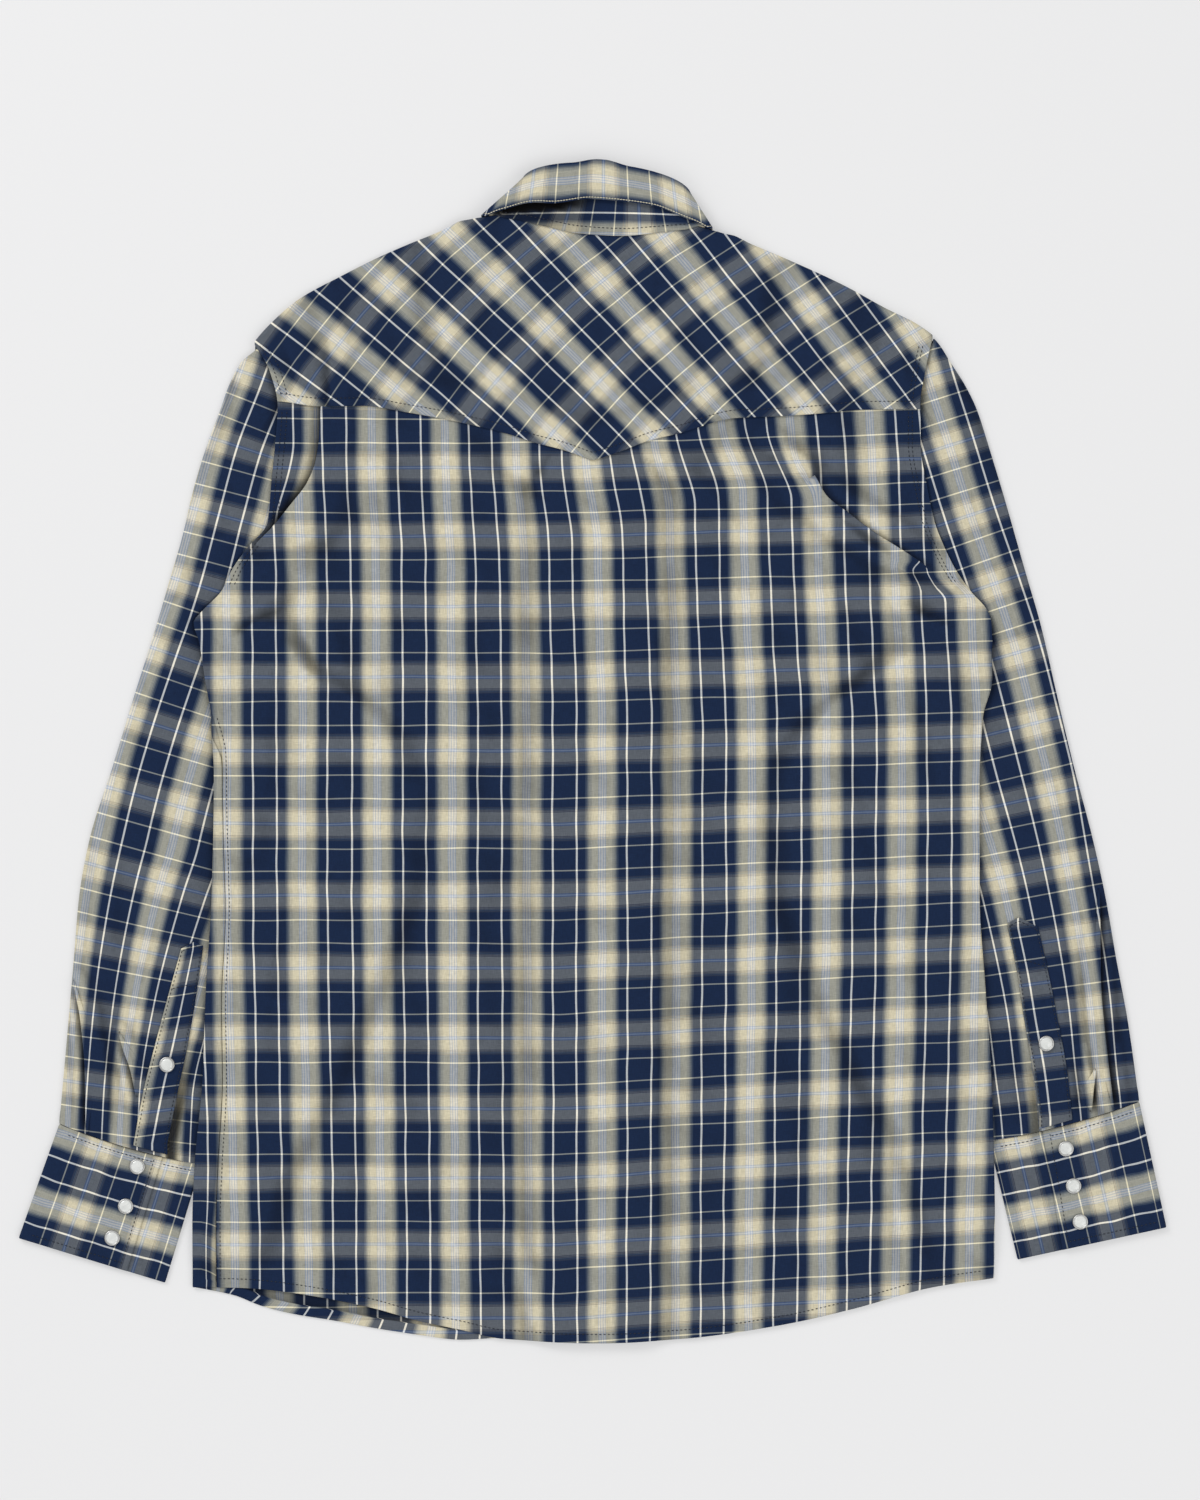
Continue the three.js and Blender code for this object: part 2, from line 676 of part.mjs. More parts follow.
function band() {
  const rows = even(18);
  return cloth(rows.map((v) => [-bandAngle, 180, bandAngle].map((a) => {
    const top = loopPoint(neckLine, a);
    const x = centreX + (bandHalf / (bandHalf + seamGap)) * (top.x - centreX);
    const y = mix(top.y - neckGap, hemY(x, 'front'), v);
    return new THREE.Vector3(x, y, frontLevel + bandLift);
  })));
}

// Height around the neck: 1 on the back half, 0 on the front half, turning over at the sides
function upperHalf(degrees) {
  const cos = Math.cos(THREE.MathUtils.degToRad(degrees));
  return step(-sideTurn, sideTurn, cos);
}

// 1 over the front band in the middle of the collar's front half
const nearBand = (x) => step(34, 19, Math.abs(x - centreX));

function stand() {
  const around = [-191, -180, ...neckAround, 180, 188];
  const heights = [0, 0.14, 0.55, 1];
  return cloth(heights.map((v) => around.map((a) => {
    const low = loopPoint(collar.seam, a);
    const high = loopPoint(collar.standTop, a);
    const cos = Math.cos(THREE.MathUtils.degToRad(a));
    const lap = standOverlap * step(0.34, 0.6, cos);
    const seamY = Math.max(low.y, yokeTopY(low.x) + neckGap) - lap;
    const x = mix(low.x, high.x, v);
    const y = mix(cos > 0 ? seamY : low.y, high.y, v);
    const inner = layer * step(136, 151, a);
    const frontZ = frontLevel + mix(collarLift, bandLift, nearBand(x)) + inner;
    const backEdge = backLevel + neckLift + layer * step(0, 0.3, cos);
    return new THREE.Vector3(x, y, mix(frontZ, mix(backEdge, standBack, v), upperHalf(a)));
  })));
}

function leaf() {
  const inner = { back: standBack + 0.3, front: frontLevel + collarLift };
  const outer = { back: inner.back + 2 * leafTurn, front: frontLevel };
  const start = {
    ...collar.standTop,
    half: collar.standTop.half - neckGap,
    y: collar.standTop.y + leafGap,
    front: collar.standTop.front + leafGap - neckGap,
  };
  const plies = { start: [0, 1], turn: [0.33, 0.67], outer: [0, 0.35, 0.7, 1] };
  const ply = {
    start(a, t) {
      const low = loopPoint(start, a);
      const fold = loopPoint(collar.fold, a);
      const x = mix(low.x, fold.x, t);
      const z = mix(inner.front + (bandLift - collarLift) * nearBand(x), inner.back, upperHalf(a));
      return [x, mix(low.y, fold.y - leafTurn, t), z];
    },
    turn(a, t) {
      const fold = loopPoint(collar.fold, a);
      const over = (1 - Math.cos(Math.PI * t)) / 2;
      const front = inner.front + (bandLift - collarLift) * nearBand(fold.x);
      const z = mix(mix(front, outer.front, over), mix(inner.back, outer.back, over), upperHalf(a));
      const widen = leafWiden * Math.sin(THREE.MathUtils.degToRad(a)) * over;
      return [fold.x + widen, fold.y - leafTurn + leafTurn * Math.sin(Math.PI * t), z];
    },
    outer(a, t) {
      const size = Math.abs(a);
      const turned = (bandAngle - leafEndEdge) * step(102, bandAngle, size);
      const low = loopPoint(collar.edge, Math.sign(a) * (size - turned));
      const fold = loopPoint(collar.fold, a);
      const dip = leafDip * step(26, 0, Math.abs(low.x + 27)) * upperHalf(a) * t;
      const foldX = fold.x + leafWiden * Math.sin(THREE.MathUtils.degToRad(a));
      const z = mix(outer.front, mix(outer.back, leafEdgeBack, t), upperHalf(a));
      return [mix(foldX, low.x, t), mix(fold.y - leafTurn, low.y - dip, t), z];
    },
  };
  return cloth(Object.entries(plies).flatMap(([name, steps]) => steps.map((t) => (
    neckAround.map((a) => new THREE.Vector3(...ply[name](a, t)))
  ))));
}

// Plan of a sleeve's section: across from its outer fold to its inner fold
function sleevePlan(side, s, section) {
  const [outerX0, outerY0] = side.cuff.outerTop;
  const [innerX0, innerY0] = side.cuff.innerTop;
  const outerY = mix(side.tipY, outerY0 + seamGap, section.outer);
  const innerY = mix(side.splitY, innerY0 + seamGap, section.inner);
  const armholeX = (y) => sideX(side, y) - side.sign * sewnEnd;
  const x = mix(
    mix(outerX(side, outerY), outerX0, step(0.98, 1, section.outer)),
    mix(innerX(side, innerY), innerX0, step(0.98, 1, section.inner)),
    s,
  );
  const arch = side.cuff.topBow * 4 * s * (1 - s) * step(0.7, 1, section.outer);
  const y = mix(outerY, innerY, s) + arch;
  return [mix(x, armholeX(y), section.bow * step(0, 0.12, s)), y];
}

// A flattened tube: its upper layer from the outer to the inner fold, then its under layer back
function flatTube(sections, plan, overZ, underZ, overSteps, underSteps) {
  const halfTurn = [0.25, 0.5, 0.75];
  return sections.map((section) => {
    const ring = [];
    const fold = (s) => {
      const [x, y] = plan(s, section);
      const [nx, ny] = plan(mix(s, 0.5, 0.1), section);
      const length = Math.hypot(nx - x, ny - y);
      const inward = [(nx - x) / length, (ny - y) / length];
      const over = overZ(x, y);
      const under = underZ(x, y);
      const radius = (over - under) / 2;
      const at = (t) => {
        const away = wall / 2 + radius - radius * Math.sin(Math.PI * t);
        const z = (over + under) / 2 + radius * Math.cos(Math.PI * t);
        return new THREE.Vector3(x + inward[0] * away, y + inward[1] * away, z);
      };
      return at;
    };
    const outer = fold(0);
    const inner = fold(1);
    const flat = (zOf) => (s) => {
      const [x, y] = plan(s, section);
      return new THREE.Vector3(x, y, zOf(x, y));
    };
    ring.push(outer(0), ...overSteps.map(flat(overZ)), inner(0));
    ring.push(...halfTurn.map(inner), inner(1));
    ring.push(...underSteps.map(flat(underZ)), outer(1));
    ring.push(...[...halfTurn].reverse().map(outer));
    return ring;
  });
}

function sleeve(side) {
  const overSteps = [0.07, 0.14, 0.22, 0.32, 0.44, 0.58, 0.74, 0.9];
  const underSteps = [0.85, 0.5, 0.15];
  const grid = flatTube(
    sleeveSections,
    (s, section) => sleevePlan(side, s, section),
    (x, y) => sleeveOverZ(side, x, y),
    (x, y) => sleeveUnderZ(side, x, y),
    overSteps,
    underSteps,
  );
  return cloth(grid, true);
}

// Strip on a sleeve over its opening, made from the sleeve's own heights, moved out
const placketLift = layer + 0.5;

function sleevePlacket(side) {
  const { tip, rows } = side.placket;
  const zAt = (x, y) => sleeveOverZ(side, x, y) + placketLift;
  const tipY = tip[1];
  const lines = [];
  for (const row of [{ y: tipY, out: tip[0], in: tip[0], tip: true }, ...rows]) {
    const points = [0, 0.5, 1].map((u) => {
      const spread = row.tip ? side.sign * mix(1.5, -1.5, u) : 0;
      const x = mix(row.out, row.in, u) + spread;
      const slope = 0.29 * side.sign * (x - mix(row.out, row.in, 0.5));
      const y = row.y + (row.tip ? 0 : slope * 0.6);
      return new THREE.Vector3(x, y, zAt(x, y));
    });
    lines.push(points);
  }
  return cloth(lines);
}

// Plan of a cuff: across from the outer fold to the inner fold, down from the sleeve to its end
function cuffPlan(side, s, w) {
  const { outerTop, innerTop, outerEnd, innerEnd, topBow } = side.cuff;
  return [0, 1].map((n) => {
    const top = mix(outerTop[n], innerTop[n], s);
    const end = mix(outerEnd[n], innerEnd[n], s);
    const bow = n === 1 ? topBow * 4 * s * (1 - s) * (1 - w) : 0;
    return mix(top, end, w) + bow;
  });
}

const cuffUnder = floorLevel;
const cuffLap = floorLevel + layer + 0.2;
const cuffOver = cuffLap + layer;

// Open band round the wrist: from the slit over the outer fold, under, and back beneath the slit
function cuff(side) {
  const rows = even(4);
  const grid = rows.map((w) => {
    const slit = mix(side.cuff.slitTop, side.cuff.slitEnd, w);
    const point = (s, z) => {
      const [x, y] = cuffPlan(side, s, w);
      return new THREE.Vector3(x, y, z);
    };
    const turn = (s, from, to, t) => {
      const [x, y] = cuffPlan(side, s, w);
      const [nx, ny] = cuffPlan(side, 0.5, w);
      const length = Math.hypot(nx - x, ny - y);
      const radius = Math.abs(from - to) / 2;
      const away = wall / 2 + radius - radius * Math.sin(Math.PI * t);
      const z = (from + to) / 2 + ((from - to) / 2) * Math.cos(Math.PI * t);
      return new THREE.Vector3(x + ((nx - x) / length) * away, y + ((ny - y) / length) * away, z);
    };
    const half = [0, 0.25, 0.5, 0.75, 1];
    return [
      ...[slit, slit * 0.7, slit * 0.4, slit * 0.15].map((s) => point(s, cuffOver)),
      ...half.map((t) => turn(0, cuffOver, cuffUnder, t)),
      ...[0.2, 0.5, 0.8].map((s) => point(s, cuffUnder)),
      ...half.map((t) => turn(1, cuffUnder, cuffLap, t)),
      ...[0.92, slit + 0.05, slit - 0.1, slit - 0.22].map((s) => point(s, cuffLap)),
    ];
  });
  return cloth(grid);
}

// Cap of a snap: a flat ring with a low pearl dome
function snap(x, y, baseZ, up) {
  const profile = [
    [0, 0],
    [snapRadius, 0],
    [snapRadius, snapHeight * 0.4],
    [snapRadius * 0.8, snapHeight * 0.75],
    [snapRadius * 0.45, snapHeight],
    [0, snapHeight],
  ].map(([r, z]) => new THREE.Vector2(r, z));
  const geometry = new THREE.LatheGeometry(profile, snapSides);
  geometry.rotateX(up > 0 ? Math.PI / 2 : -Math.PI / 2);
  geometry.translate(x, y, baseZ);
  return geometry;
}

// Cloth and snap finishes
const fabric = () => new THREE.MeshStandardMaterial({ color: 0x6b7077, roughness: 0.88, metalness: 0 });
const pearl = () => new THREE.MeshStandardMaterial({ color: 0xd8dad4, roughness: 0.28, metalness: 0.05 });

const shirt = new THREE.Group();

function add(name, geometry, material) {
  const mesh = new THREE.Mesh(geometry, material);
  mesh.name = name;
  shirt.add(mesh);
}

add('back', back(), fabric());
add('yoke', yoke(), fabric());
add('front_left', frontLeft(), fabric());
add('front_right', frontRight(), fabric());
add('front_band', band(), fabric());
add('collar_stand', stand(), fabric());
add('collar_leaf', leaf(), fabric());

for (const side of [left, right]) {
  add(`sleeve_${side.name}`, sleeve(side), fabric());
  add(`sleeve_placket_${side.name}`, sleevePlacket(side), fabric());
  add(`cuff_${side.name}`, cuff(side), fabric());
  side.cuff.snaps.forEach(([x, y], n) => {
    add(`snap_cuff_${side.name}_${n + 1}`, snap(x, y, cuffOver + wall / 2 + seamGap, 1), pearl());
  });
  const [x, y] = side.placket.snap;
  const surface = sleeveOverZ(side, x, y) + placketLift + wall / 2;
  add(`snap_placket_${side.name}`, snap(x, y, surface + 0.45, 1), pearl());
}

// Snaps down the front band and on the stand, on the side that faces the surface below
for (let n = 0; n < frontSnapCount; n += 1) {
  const y = frontSnapTop - n * frontSnapPitch;
  add(`snap_front_${n + 1}`, snap(centreX, y, snapHeight, -1), pearl());
}
add('snap_collar', snap(centreX, 306, snapHeight, -1), pearl());

export default shirt;
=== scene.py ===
import math

import bpy
import mathutils
import numpy as np
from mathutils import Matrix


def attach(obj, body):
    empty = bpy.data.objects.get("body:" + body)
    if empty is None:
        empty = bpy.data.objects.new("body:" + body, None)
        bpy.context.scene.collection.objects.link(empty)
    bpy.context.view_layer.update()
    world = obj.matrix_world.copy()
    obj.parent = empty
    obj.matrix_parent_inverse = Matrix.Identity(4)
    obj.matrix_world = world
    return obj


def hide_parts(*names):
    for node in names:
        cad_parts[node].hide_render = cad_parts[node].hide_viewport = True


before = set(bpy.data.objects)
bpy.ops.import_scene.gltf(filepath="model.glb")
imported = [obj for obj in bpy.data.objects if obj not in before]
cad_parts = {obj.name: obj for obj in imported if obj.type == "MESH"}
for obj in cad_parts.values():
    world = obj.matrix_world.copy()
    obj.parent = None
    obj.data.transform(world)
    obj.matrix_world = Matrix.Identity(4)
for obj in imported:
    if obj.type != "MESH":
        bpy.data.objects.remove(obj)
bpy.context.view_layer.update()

# Sizes in millimetres, as the cloth lies; meshes are written in metres
centreX = 3.0
cloth = {"wall": 0.8, "floor": 0.5, "layer": 1.3, "back": 2.4, "frontLift": 3.6}


def mix(a, b, t):
    return a + (b - a) * t


def step(a, b, value):
    t = np.clip((np.asarray(value, float) - a) / (b - a), 0, 1)
    return t * t * (3 - 2 * t)


# Smooth reading of (place, value) rows, with no overshoot
def curve(rows):
    rows = sorted(rows)
    xs = np.array([r[0] for r in rows], float)
    ys = np.array([r[1] for r in rows], float)
    slope = np.diff(ys) / np.diff(xs)
    tangent = np.zeros(len(xs))
    tangent[0] = slope[0]
    tangent[-1] = slope[-1]
    same = slope[:-1] * slope[1:] > 0
    inner = np.zeros(len(xs) - 2)
    inner[same] = 2 * slope[:-1][same] * slope[1:][same] / (slope[:-1][same] + slope[1:][same])
    tangent[1:-1] = inner

    def read(at):
        at = np.asarray(at, float)
        k = np.clip(np.searchsorted(xs, at, side="right") - 1, 0, len(xs) - 2)
        h = xs[k + 1] - xs[k]
        t = np.clip((at - xs[k]) / h, 0, 1)
        t2 = t * t
        t3 = t2 * t
        low = (2 * t3 - 3 * t2 + 1) * ys[k] + (t3 - 2 * t2 + t) * h * tangent[k]
        return low + (3 * t2 - 2 * t3) * ys[k + 1] + (t3 - t2) * h * tangent[k + 1]

    return read


def columns(table, names):
    return {name: curve([(row[0], row[1 + n]) for row in table]) for n, name in enumerate(names)}


# Outline of each panel
bodySides = columns(
    [  # y, left, right
        (292, -241.0, 238.6), (286, -237.4, 237.0), (266, -225.8, 232.7), (242, -220.2, 229.0),
        (214, -222.0, 229.0), (188, -224.6, 233.0), (160, -227.2, 239.0), (142, -241.5, 246.0),
        (128, -251.5, 253.0), (112, -259.5, 264.0), (98, -273.0, 276.0), (90, -279.0, 278.5),
        (76, -275.0, 279.0), (50, -271.0, 279.6), (24, -266.8, 273.2), (-22, -265.0, 270.8),
        (-100, -266.5, 270.8), (-167, -270.6, 275.0), (-230, -273.0, 279.2), (-290, -278.5, 281.0),
        (-330, -280.0, 281.5), (-376, -280.0, 281.0),
    ],
    ("left", "right"),
)
hems = columns(
    [  # x, back, front
        (-281, -375.0, -374.5), (-251, -375.3, -380.6), (-232, -376.3, -388.0), (-208, -379.2, -394.0),
        (-182, -383.6, -398.2), (-152, -390.0, -403.7), (-122, -398.5, -408.3), (-92, -404.8, -411.8),
        (-63, -411.0, -410.4), (4, -413.9, -409.5), (63, -411.0, -406.8), (127, -402.3, -398.3),
        (180, -390.7, -386.7), (238, -375.0, -371.0), (282, -368.4, -364.4),
    ],
    ("back", "front"),
)
yokePoint = columns(
    [  # distance out from the point, left, right
        (0, 203.1, 203.1), (20, 210.3, 209.6), (40, 215.5, 217.2), (60, 222.0, 222.0), (100, 231.5, 233.0),
        (130, 237.0, 234.2), (160, 241.4, 236.3), (190, 241.0, 238.9), (222, 244.5, 239.0),
        (260, 244.5, 239.0),
    ],
    ("left", "right"),
)
yokeTop = curve(
    [
        (-242, 280.0), (-237.4, 285.5), (-226, 298.4), (-205, 316.6), (-177, 332.0), (-146, 347.4),
        (-114, 360.7), (-80, 372.6), (-60, 374.5), (-36, 369.8), (-8, 364.0), (20, 362.5), (50, 365.2),
        (68, 367.0), (84, 363.8),
        (114, 353.5), (146, 340.0), (177, 325.5), (205, 310.0), (226, 299.5), (239, 290.5),
    ]
)
sleeveOuter = columns(
    [  # y, left, right
        (290, -231.0, 238.0), (284, -233.0, 243.0), (272, -246.0, 250.5), (256, -254.6, 260.8),
        (240, -260.2, 268.6), (211, -271.0, 278.0), (181, -279.8, 287.0), (151, -286.7, 295.5),
        (120, -295.8, 304.5), (91, -304.4, 313.0), (36, -321.7, 325.8), (-8, -335.1, 336.2),
        (-63, -352.4, 350.5), (-103, -359.5, 359.2), (-145, -363.0, 366.5), (-190, -366.9, 374.8),
        (-245, -371.8, 382.5), (-261, -373.2, 384.6),
    ],
    ("left", "right"),
)
sleeveInner = columns(
    [  # y, left, right
        (146, -231.0, 238.0), (128, -243.5, 246.0), (112, -254.5, 259.0), (104, -262.0, 267.0),
        (96, -270.5, 273.0), (88, -275.0, 275.5), (80, -273.8, 275.5), (72, -270.0, 273.5),
        (62, -262.0, 266.0), (50, -247.0, 252.0), (30, -220.0, 226.0), (5, -198.0, 204.0),
        (-34, -185.0, 191.0), (-90, -189.0, 195.0), (-146, -208.0, 213.0), (-202, -231.0, 237.0),
        (-250, -253.5, 263.0), (-273, -265.0, 277.5), (-290, -274.1, 281.3), (-372, -299.0, 302.0),
    ],
    ("left", "right"),
)
# Section down a sleeve: share of the inner fold passed, and how much the section bows with the armhole
sections = columns(
    [
        (0, 0, 1), (0.045, 0.04, 0.85), (0.09, 0.078, 0.6), (0.135, 0.105, 0.35), (0.18, 0.13, 0.16),
        (0.22, 0.155, 0.05), (0.255, 0.18, 0), (0.29, 0.205, 0), (0.325, 0.235, 0), (0.37, 0.28, 0),
        (0.42, 0.345, 0), (0.48, 0.425, 0), (0.55, 0.51, 0), (0.62, 0.6, 0), (0.69, 0.68, 0), (0.76, 0.76, 0),
        (0.82, 0.82, 0), (0.88, 0.88, 0), (0.94, 0.94, 0), (1, 1, 0),
    ],
    ("inner", "bow"),
)
sides = {
    "left": {
        "sign": -1, "tipY": 284, "splitY": 146, "underarmY": 91,
        "outerTop": (-373.2, -260.9), "innerTop": (-274.1, -289.6),
        "outerEnd": (-401.5, -340.5), "innerEnd": (-299.1, -371.8),
        "topBow": -2.6, "slitTop": 0.73, "slitEnd": 0.74,
        "snaps": [(-318.4, -290.4), (-326.5, -318.1), (-335.9, -340.3)],
        "placketTip": (-280.1, -133.5), "placketSnap": (-297.5, -219.0),
        "placket": [(-138, -287.7, -272.5), (-172, -297.0, -277.4), (-205, -305.8, -283.0),
                    (-238, -314.0, -290.0), (-274, -320.8, -297.2)],
    },
    "right": {
        "sign": 1, "tipY": 289, "splitY": 146, "underarmY": 95,
        "outerTop": (382.5, -245.3), "innerTop": (277.5, -273.0),
        "outerEnd": (401.5, -333.0), "innerEnd": (297.4, -355.6),
        "topBow": -2.6, "slitTop": 0.645, "slitEnd": 0.7,
        "snaps": [(331.0, -277.9), (336.3, -303.9), (341.0, -329.0)],
        "placketTip": (297.0, -116.5), "placketSnap": (317.1, -204.2),
        "placket": [(-123, 311.5, 290.2), (-157, 319.0, 297.2), (-187, 325.0, 301.6),
                    (-227, 332.2, 308.4), (-256, 335.2, 312.2)],
    },
}


def yokeLow(x):
    x = np.asarray(x, float)
    return np.where(x < 0, yokePoint["left"](np.abs(x)), yokePoint["right"](np.abs(x)))


# Folds: soft ridges (x0, y0, x1, y1, rise, reach) and lips, where cloth laps over itself
backFolds = [
    (122, 219, 158, 184, 1.5, 12), (158, 184, 246, 124, 2.2, 16), (236, 60, 254, -20, 1.2, 20),
    (-236, 70, -246, -60, 1.0, 20), (-120, 150, -96, -260, 1.1, 34), (92, 90, 112, -300, 1.0, 36),
    (-206, 118, -176, 40, 0.7, 15), (-243, 96, -214, 62, 0.8, 12), (-150, 196, -128, 150, 0.6, 12),
    (-60, 204, -28, 176, 0.7, 10), (-28, 176, 6, 158, 0.5, 10), (60, 196, 96, 150, 0.7, 12),
    (150, 120, 178, 60, 0.8, 16), (206, 118, 236, 84, 0.9, 12), (186, 30, 204, -60, 0.6, 18),
    (-228, -90, -240, -190, 0.7, 16), (236, -120, 246, -230, 0.8, 16), (-30, -120, -18, -250, 0.5, 24),
    (30, 60, 46, -90, 0.5, 26), (160, -210, 182, -330, 0.6, 22), (-190, -230, -176, -340, 0.6, 20),
    (96, -300, 130, -352, 0.5, 14), (-60, -330, -40, -396, 0.6, 12), (214, -300, 226, -360, 0.6, 12),
]
backTroughs = [
    (128, 205, 160, 172, 0.8, 8), (166, 168, 240, 116, 1.1, 9), (-214, 92, -190, 44, 0.5, 8),
    (222, 104, 246, 74, 0.6, 8), (-48, 190, -18, 164, 0.5, 7), (70, 180, 100, 138, 0.4, 8),
]
# A fold's free edge as (y, x), its rise, how far it fades, and the side that is raised: +1 towards +X
backLaps = {
    "left": {
        "line": [(246, -189.4), (218, -191.0), (204, -193.0), (188, -199.0), (172, -211.0), (155, -225.0),
                 (140, -241.0)],
        "rise": 2.4, "fade": 60, "side": 1, "hidden": 15.0,
    },
    "right": {
        "line": [(193, 155.3), (179, 163.1), (166.6, 178.6), (152.6, 197.3), (138.6, 219.1), (126.2, 237.6)],
        "rise": 1.8, "fade": 44, "side": -1, "hidden": 0.0,
    },
}
sleeveFolds = {
    "left": [
        (-361, -160, -355, -262, 1.6, 9), (-331, -196, -322, -244, 1.3, 7), (-300, 40, -322, -60, 0.8, 14),
        (-290, 60, -300, -20, 0.6, 10), (-340, -60, -346, -150, 0.7, 12), (-312, -90, -324, -180, 0.7, 12),
        (-344, -205, -341, -262, 1.1, 5), (-309, -150, -318, -215, 0.5, 8), (-252, 214, -268, 150, 0.6, 8),
        (-276, 120, -292, 60, 0.6, 9),
    ],
    "right": [
        (354, -100, 362, -248, 1.6, 9), (342, -208, 347, -252, 1.3, 7), (300, 40, 318, -60, 0.8, 14),
        (288, 60, 300, -20, 0.6, 10), (334, -60, 344, -150, 0.7, 12), (320, -150, 326, -215, 0.5, 8),
        (366, -205, 371, -250, 1.0, 5), (300, -190, 304, -262, 0.8, 6), (252, 214, 264, 150, 0.6, 8),
        (280, 120, 296, 60, 0.6, 9),
    ],
}
sleeveLips = {  # y and x down the lip, height, how far the raised side fades
    "left": [
        ([(-160, -363.5), (-188, -357.8), (-225, -354.6), (-268, -354.0)], 1.9, 16, 1),
        ([(-196, -331.5), (-208, -328.0), (-222, -323.0), (-242, -319.0)], 1.5, 10, 1),
    ],
    "right": [
        ([(-96, 354.5), (-160, 355.0), (-194, 357.6), (-216, 360.0), (-250, 364.5)], 1.9, 14, -1),
        ([(-222, 352.0), (-236, 350.0), (-252, 348.6)], 2.0, 10, -1),
    ],
}


def ridge(fold, x, y):
    x0, y0, x1, y1, rise, reach = fold
    dx, dy = x1 - x0, y1 - y0
    t = np.clip(((x - x0) * dx + (y - y0) * dy) / (dx * dx + dy * dy), 0, 1)
    away = np.hypot(x - x0 - t * dx, y - y0 - t * dy)
    ends = 0.35 + 0.65 * np.sin(np.pi * np.clip(t, 0.08, 0.92))
    return rise * step(reach, 0, away) * ends


def lip(points, rise, fade, side, x, y):
    line = curve([(p[0], p[1]) for p in points])
    low, high = min(p[0] for p in points), max(p[0] for p in points)
    past = side * (x - line(y))
    ends = step(low - 4, low + 12, y) * step(high + 4, high - 22, y)
    return rise * step(1.2, 4.5, past) * step(fade, 5, past) * ends


def ripple(x, y, amount, length, turn=0.0):
    c, s = math.cos(turn), math.sin(turn)
    u, v = (x * c + y * s) / length, (y * c - x * s) / length
    broad = np.sin(u * 2.1 + 1.3 * np.sin(v * 0.9)) * np.cos(v * 1.3 + 0.7)
    return amount * (broad + 0.5 * np.sin(u * 4.3 + 2.0 + v) * np.sin(v * 2.9))


def overSleeve(name, x, y, margin):
    side = sides[name]
    past = side["sign"] * (sleeveInner[name](y) - x)
    passing = step(side["underarmY"] + 9, side["underarmY"] - 13, y)
    return step(margin + 32, margin, past) * passing * step(-376, -326, y)


def besideArmhole(name, x, y):
    inward = sides[name]["sign"] * (bodySides[name](y) - x)
    return step(56, 20, inward) * step(54, 74, y)


def onBand(x, spread):
    return step(spread + 28, spread, np.abs(x - centreX))


def onCollar(x, y):
    reach = np.hypot((x - centreX) / 101, (368 - y) / np.where(y < 368, 159, 200))
    return step(1.3, 1.0, reach)


def outerFrontZ(x, y):
    lifts = [3.0 * overSleeve(name, x, y, 20) for name in ("left", "right")]
    lifts += [2.3 * onBand(x, 20), 1.4 * onCollar(x, y)]
    return cloth["floor"] + np.maximum.reduce(lifts)


def innerFrontZ(x, y):
    overlap = cloth["frontLift"] * np.where(x < centreX, 1, onBand(x, 20))
    return np.maximum(outerFrontZ(x, y), cloth["floor"] + overlap)


def backBaseZ(x, y):
    lifts = [
        3.0 * overSleeve("left", x, y, 40), 3.0 * overSleeve("right", x, y, 40),
        3.0 * besideArmhole("left", x, y), 3.0 * besideArmhole("right", x, y),
        3.6 * onBand(x, 26), 3.6 * onCollar(x, y),
    ]
    return cloth["back"] + np.maximum.reduce(lifts)


def lapPast(lap, x, y):
    return lap["side"] * (x - curve(lap["line"])(y))


def lapAmount(name, y):
    return step(136, 156, y) if name == "left" else step(122, 134, y) * step(214, 190, y)


# Raised side of each lap; covered=True is the cloth that passes on under its free edge
def lapHeight(x, y, covered=True):
    total = 0
    for name, lap in backLaps.items():
        past = lapPast(lap, x, y)
        start = step(2.5, 11, past) if covered else step(-6, -2, past)
        total = total + lap["rise"] * start * step(lap["fade"], 12, past) * lapAmount(name, y)
    return total


# Shadow on the cloth beside a free edge
def lapShade(past, reach):
    return step(-reach, -0.5, past) * step(3, 0, past)


def backCreases(x, y):
    up = np.maximum.reduce([ridge(f, x, y) for f in backFolds])
    down = np.maximum.reduce([ridge(f, x, y) for f in backTroughs])
    return up - down * step(0.2, 0.9, up + 0.6) + ripple(x, y, 0.16, 30) + ripple(x, y, 0.09, 13, 0.6)


def backZ(x, y, covered=True):
    return backBaseZ(x, y) + backCreases(x, y) + lapHeight(x, y, covered)


def yokeZ(x, y):
    low = yokeLow(x)
    over = 1.5 * step(30, 12, y - low)
    valley = 1.4 * step(26, 0, np.abs(x + 196)) * step(236, 252, y) * step(292, 262, y)
    lap = lapHeight(x, low) * step(60, 6, y - low)
    fold = np.maximum.reduce([ridge(f, x, y) for f in yokeFolds])
    waves = ripple(x, y, 0.15, 24, 0.8) + ripple(x, y, 0.08, 12, 0.3)
    return backBaseZ(x, y) + over + valley + lap + fold + waves


yokeFolds = [
    (-190, 322, -176, 262, 0.9, 14), (150, 300, 190, 258, 0.7, 14), (-120, 330, -90, 280, 0.6, 18),
    (60, 320, 104, 272, 0.6, 18), (-212, 296, -200, 256, 0.8, 9), (206, 292, 214, 252, 0.7, 10),
    (-20, 300, 10, 240, 0.5, 20),
]


